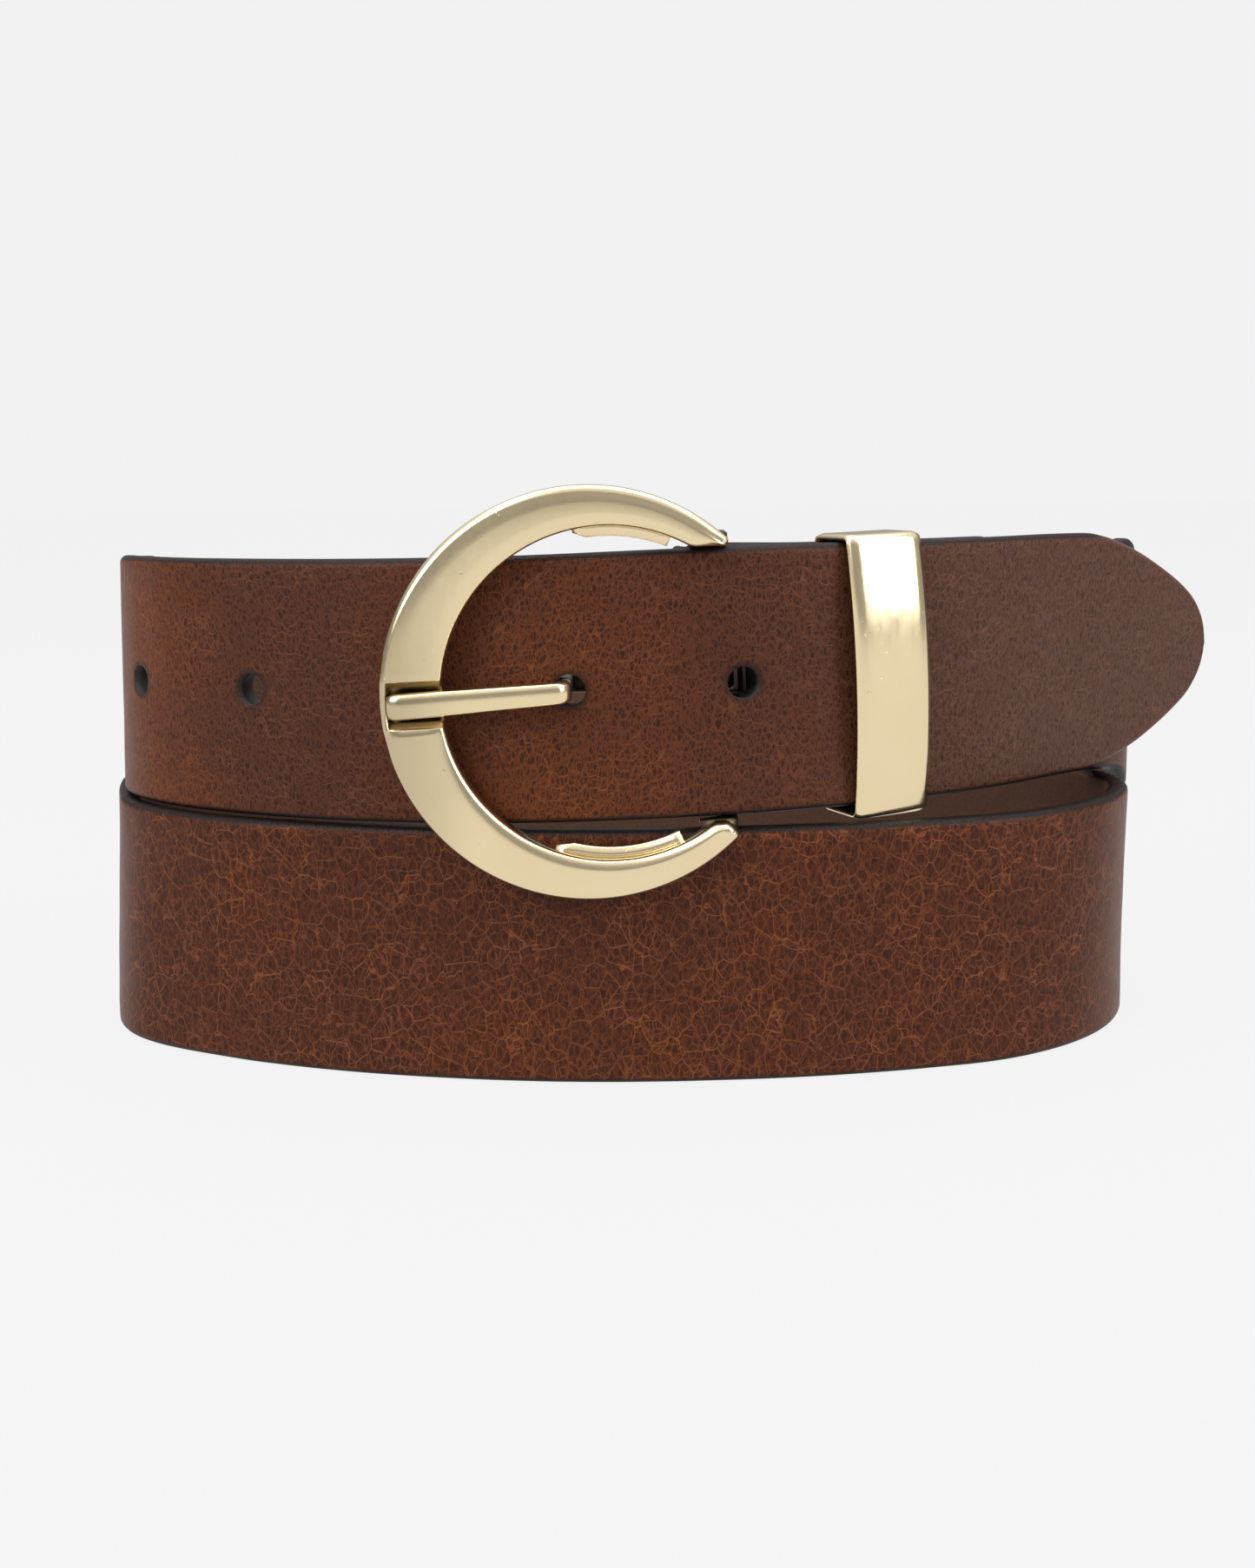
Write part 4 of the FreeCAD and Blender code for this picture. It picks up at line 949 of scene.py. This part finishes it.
    sh.feed(sh.bsdf, "Base Color", colour)
    rough = sh.math("ADD", sh.math("MULTIPLY", sh.noise(mm, 0.25, 4.0), 0.2), 0.34)
    rough = sh.math("ADD", rough, sh.math("MULTIPLY", inner, 0.35))
    sh.feed(sh.bsdf, "Roughness", rough)
    sh.feed(sh.bsdf, "Specular IOR Level", 0.13)
    height = sh.math("ADD", sh.math("MULTIPLY", veins, -0.8), sh.math("MULTIPLY", grain, 0.5))
    height = sh.math("ADD", height, sh.math("MULTIPLY", sh.math("MULTIPLY", flesh_fibre, inner), 2.0))
    bump = sh.node("ShaderNodeBump", None, Strength=0.7, Distance=0.00013)
    sh.feed(bump, "Height", height)
    sh.feed(sh.bsdf, "Normal", bump.outputs[0])
    return sh.material


def hole_shade_material():
    # painted shade: the cut walls of the holes and stud seats are near black, standing for the dark inside the
    # holes
    sh = Shader("hole_walls_painted_shade")
    place = sh.node("ShaderNodeTexCoord").outputs["Object"]
    fibre = sh.noise(place, 2500.0, 3.0)
    sh.feed(sh.bsdf, "Base Color", sh.mix(fibre, (0.003, 0.002, 0.0016, 1), (0.009, 0.005, 0.004, 1)))
    sh.feed(sh.bsdf, "Roughness", 0.7)
    return sh.material


def gold_material(name, colour, tint, rough, painted_left_shade=1.0):
    """Left shade is painted shade: it darkens the metal towards the left end of the buckle, standing in for the
    darker surroundings reflected there.
    """
    sh = Shader(name)
    place = sh.node("ShaderNodeTexCoord").outputs["Object"]
    cloud = sh.noise(place, 90.0, 3.0)
    metal = sh.mix(sh.math("MULTIPLY", cloud, 0.6), colour, tint)
    # painted shade: the colour darkens left of x = -37 to -21 mm, with a wobbly edge
    left = sh.node("ShaderNodeSeparateXYZ", None, Vector=place).outputs[0]
    streak = sh.math("MULTIPLY", sh.math("SUBTRACT", sh.noise(place, 45.0, 2.0), 0.5), 0.012)
    shade = sh.step(sh.math("ADD", left, streak), -0.037, -0.021, painted_left_shade, 1.0)
    sh.feed(sh.bsdf, "Base Color", sh.mix(shade, (0.0, 0.0, 0.0, 1), metal))
    sh.feed(sh.bsdf, "Metallic", 1.0)
    fine = sh.noise(sh.stretch(place, (1.0, 1.0, 0.35)), 900.0, 4.0, 0.6)
    sh.feed(sh.bsdf, "Roughness", sh.math("ADD", sh.math("MULTIPLY", fine, 0.12), rough))
    pits = sh.noise(place, 1300.0, 2.0)
    height = sh.math("ADD", sh.step(pits, 0.70, 0.78, 0.0, -1.0), sh.math("MULTIPLY", cloud, 2.5))
    bump = sh.node("ShaderNodeBump", None, Strength=0.25, Distance=0.00006)
    sh.feed(bump, "Height", height)
    sh.feed(sh.bsdf, "Normal", bump.outputs[0])
    return sh.material


# --------------------------------------------------------------------------------------------
# Build
# --------------------------------------------------------------------------------------------
leather = leather_material()
# near-black cut walls: painted shade inside the holes
hole_wall_shade = hole_shade_material()
# pale gold, with painted shade (factor 0.66) on the buckle's left end
gold = gold_material("pale_gold", (0.86, 0.72, 0.47, 1), (0.80, 0.63, 0.37, 1), 0.13, 0.66)
# a dark copy of the gold: painted shade for the bar, the lugs and the prong in the hole
painted_shade_metal = gold_material("metal_with_painted_shade", (0.10, 0.075, 0.045, 1), (0.06, 0.04, 0.02, 1), 0.35)
stud_metal = gold_material("stud_brass", (0.55, 0.42, 0.22, 1), (0.42, 0.30, 0.15, 1), 0.28)

strap = build_strap(leather, hole_wall_shade)
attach(strap, "strap")
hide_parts("strap")

tab = build_tab(leather, hole_wall_shade)
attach(tab, "fold_tab")
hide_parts("fold_tab")

buckle = build_buckle(gold, painted_shade_metal)
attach(buckle, "buckle")
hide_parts("buckle_frame")

prong = build_prong(gold, painted_shade_metal)
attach(prong, "prong")
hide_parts("prong")

keeper = build_keeper(gold)
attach(keeper, "keeper")
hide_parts("keeper")

# the bar behind the strap takes the gold's painted-shade copy
for node, material in (("buckle_bar", painted_shade_metal), ("snap_posts", stud_metal), ("snap_studs", stud_metal),
                       ("snap_sockets", stud_metal), ("snap_caps", stud_metal)):
    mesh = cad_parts[node].data
    mesh.materials.clear()
    mesh.materials.append(material)


# --------------------------------------------------------------------------------------------
# Stage: pale floor, soft light and camera
# --------------------------------------------------------------------------------------------
PALE = 0.887


def build_floor():
    floor = new_object("floor", [(-4000, -4000, 0), (4000, -4000, 0), (4000, 4000, 0), (-4000, 4000, 0)],
                       [(0, 1, 2, 3)], smooth=False)
    floor.location.z = -0.0002
    sh = Shader("floor_white")
    glow = sh.node("ShaderNodeEmission", None, Color=(PALE, PALE, PALE, 1), Strength=1.0)
    matt = sh.node("ShaderNodeBsdfDiffuse", None, Color=(PALE, PALE, PALE, 1))
    blend = sh.node("ShaderNodeMixShader")
    sh.feed(blend, "#0", 0.03)
    sh.feed(blend, "#1", glow.outputs[0])
    sh.feed(blend, "#2", matt.outputs[0])
    output = sh.tree.nodes["Material Output"]
    sh.feed(output, "Surface", blend.outputs[0])
    floor.data.materials.append(sh.material)


def build_world():
    world = bpy.data.worlds.new("studio")
    bpy.context.scene.world = world
    world.use_nodes = True
    tree = world.node_tree
    nodes, links = tree.nodes, tree.links
    nodes.clear()
    output = nodes.new("ShaderNodeOutputWorld")
    plain = nodes.new("ShaderNodeBackground")
    plain.inputs[0].default_value = (PALE, PALE, PALE, 1)
    studio = nodes.new("ShaderNodeBackground")
    studio.inputs[1].default_value = 1.0
    coords = nodes.new("ShaderNodeTexCoord")
    split = nodes.new("ShaderNodeSeparateXYZ")
    ramp = nodes.new("ShaderNodeValToRGB")
    links.new(coords.outputs["Generated"], split.inputs[0])
    links.new(split.outputs[2], ramp.inputs[0])
    stops = [(0.0, 0.30), (0.30, 0.42), (0.62, 0.85), (1.0, 1.0)]
    ramp.color_ramp.elements[0].position = stops[0][0]
    ramp.color_ramp.elements[0].color = (stops[0][1],) * 3 + (1,)
    ramp.color_ramp.elements[1].position = stops[-1][0]
    ramp.color_ramp.elements[1].color = (stops[-1][1],) * 3 + (1,)
    for position, value in stops[1:-1]:
        element = ramp.color_ramp.elements.new(position)
        element.color = (value, value, value, 1)
    links.new(ramp.outputs[0], studio.inputs[0])
    path = nodes.new("ShaderNodeLightPath")
    choose = nodes.new("ShaderNodeMixShader")
    links.new(path.outputs["Is Camera Ray"], choose.inputs[0])
    links.new(studio.outputs[0], choose.inputs[1])
    links.new(plain.outputs[0], choose.inputs[2])
    links.new(choose.outputs[0], output.inputs[0])


def add_softbox(name, location, target, size, power):
    data = bpy.data.lights.new(name, "AREA")
    data.shape = "RECTANGLE"
    data.size, data.size_y = size
    data.energy = power
    light = bpy.data.objects.new(name, data)
    light.location = location
    direction = Vector(target) - Vector(location)
    light.rotation_euler = direction.to_track_quat("-Z", "Y").to_euler()
    bpy.context.scene.collection.objects.link(light)
    return light


def build_camera():
    data = bpy.data.cameras.new("camera")
    data.sensor_fit = "VERTICAL"
    data.sensor_height = 36.0
    data.lens = 40.47
    data.clip_start = 0.01
    camera = bpy.data.objects.new("camera", data)
    pitch = math.radians(10.2)
    forward = Vector((0, math.cos(pitch), -math.sin(pitch)))
    upward = Vector((0, math.sin(pitch), math.cos(pitch)))
    right = Vector((1, 0, 0))
    roll = math.radians(-0.6)
    turned_right = right * math.cos(roll) + upward * math.sin(roll)
    turned_up = upward * math.cos(roll) - right * math.sin(roll)
    camera.matrix_world = frame_matrix(Vector((0, -0.2616, 0.0937)), turned_right, turned_up, -forward)
    bpy.context.scene.collection.objects.link(camera)
    bpy.context.scene.camera = camera


build_floor()
build_world()
add_softbox("key_left", (-0.55, -0.55, 0.55), (0, 0.02, 0.05), (0.5, 0.7), 7.0)
add_softbox("key_right", (0.65, -0.35, 0.45), (0, 0.02, 0.05), (0.4, 0.7), 5.0)
add_softbox("top", (0.0, 0.05, 0.8), (0, 0.03, 0.0), (0.9, 0.6), 5.0)
build_camera()
bpy.context.scene.view_settings.view_transform = "Standard"
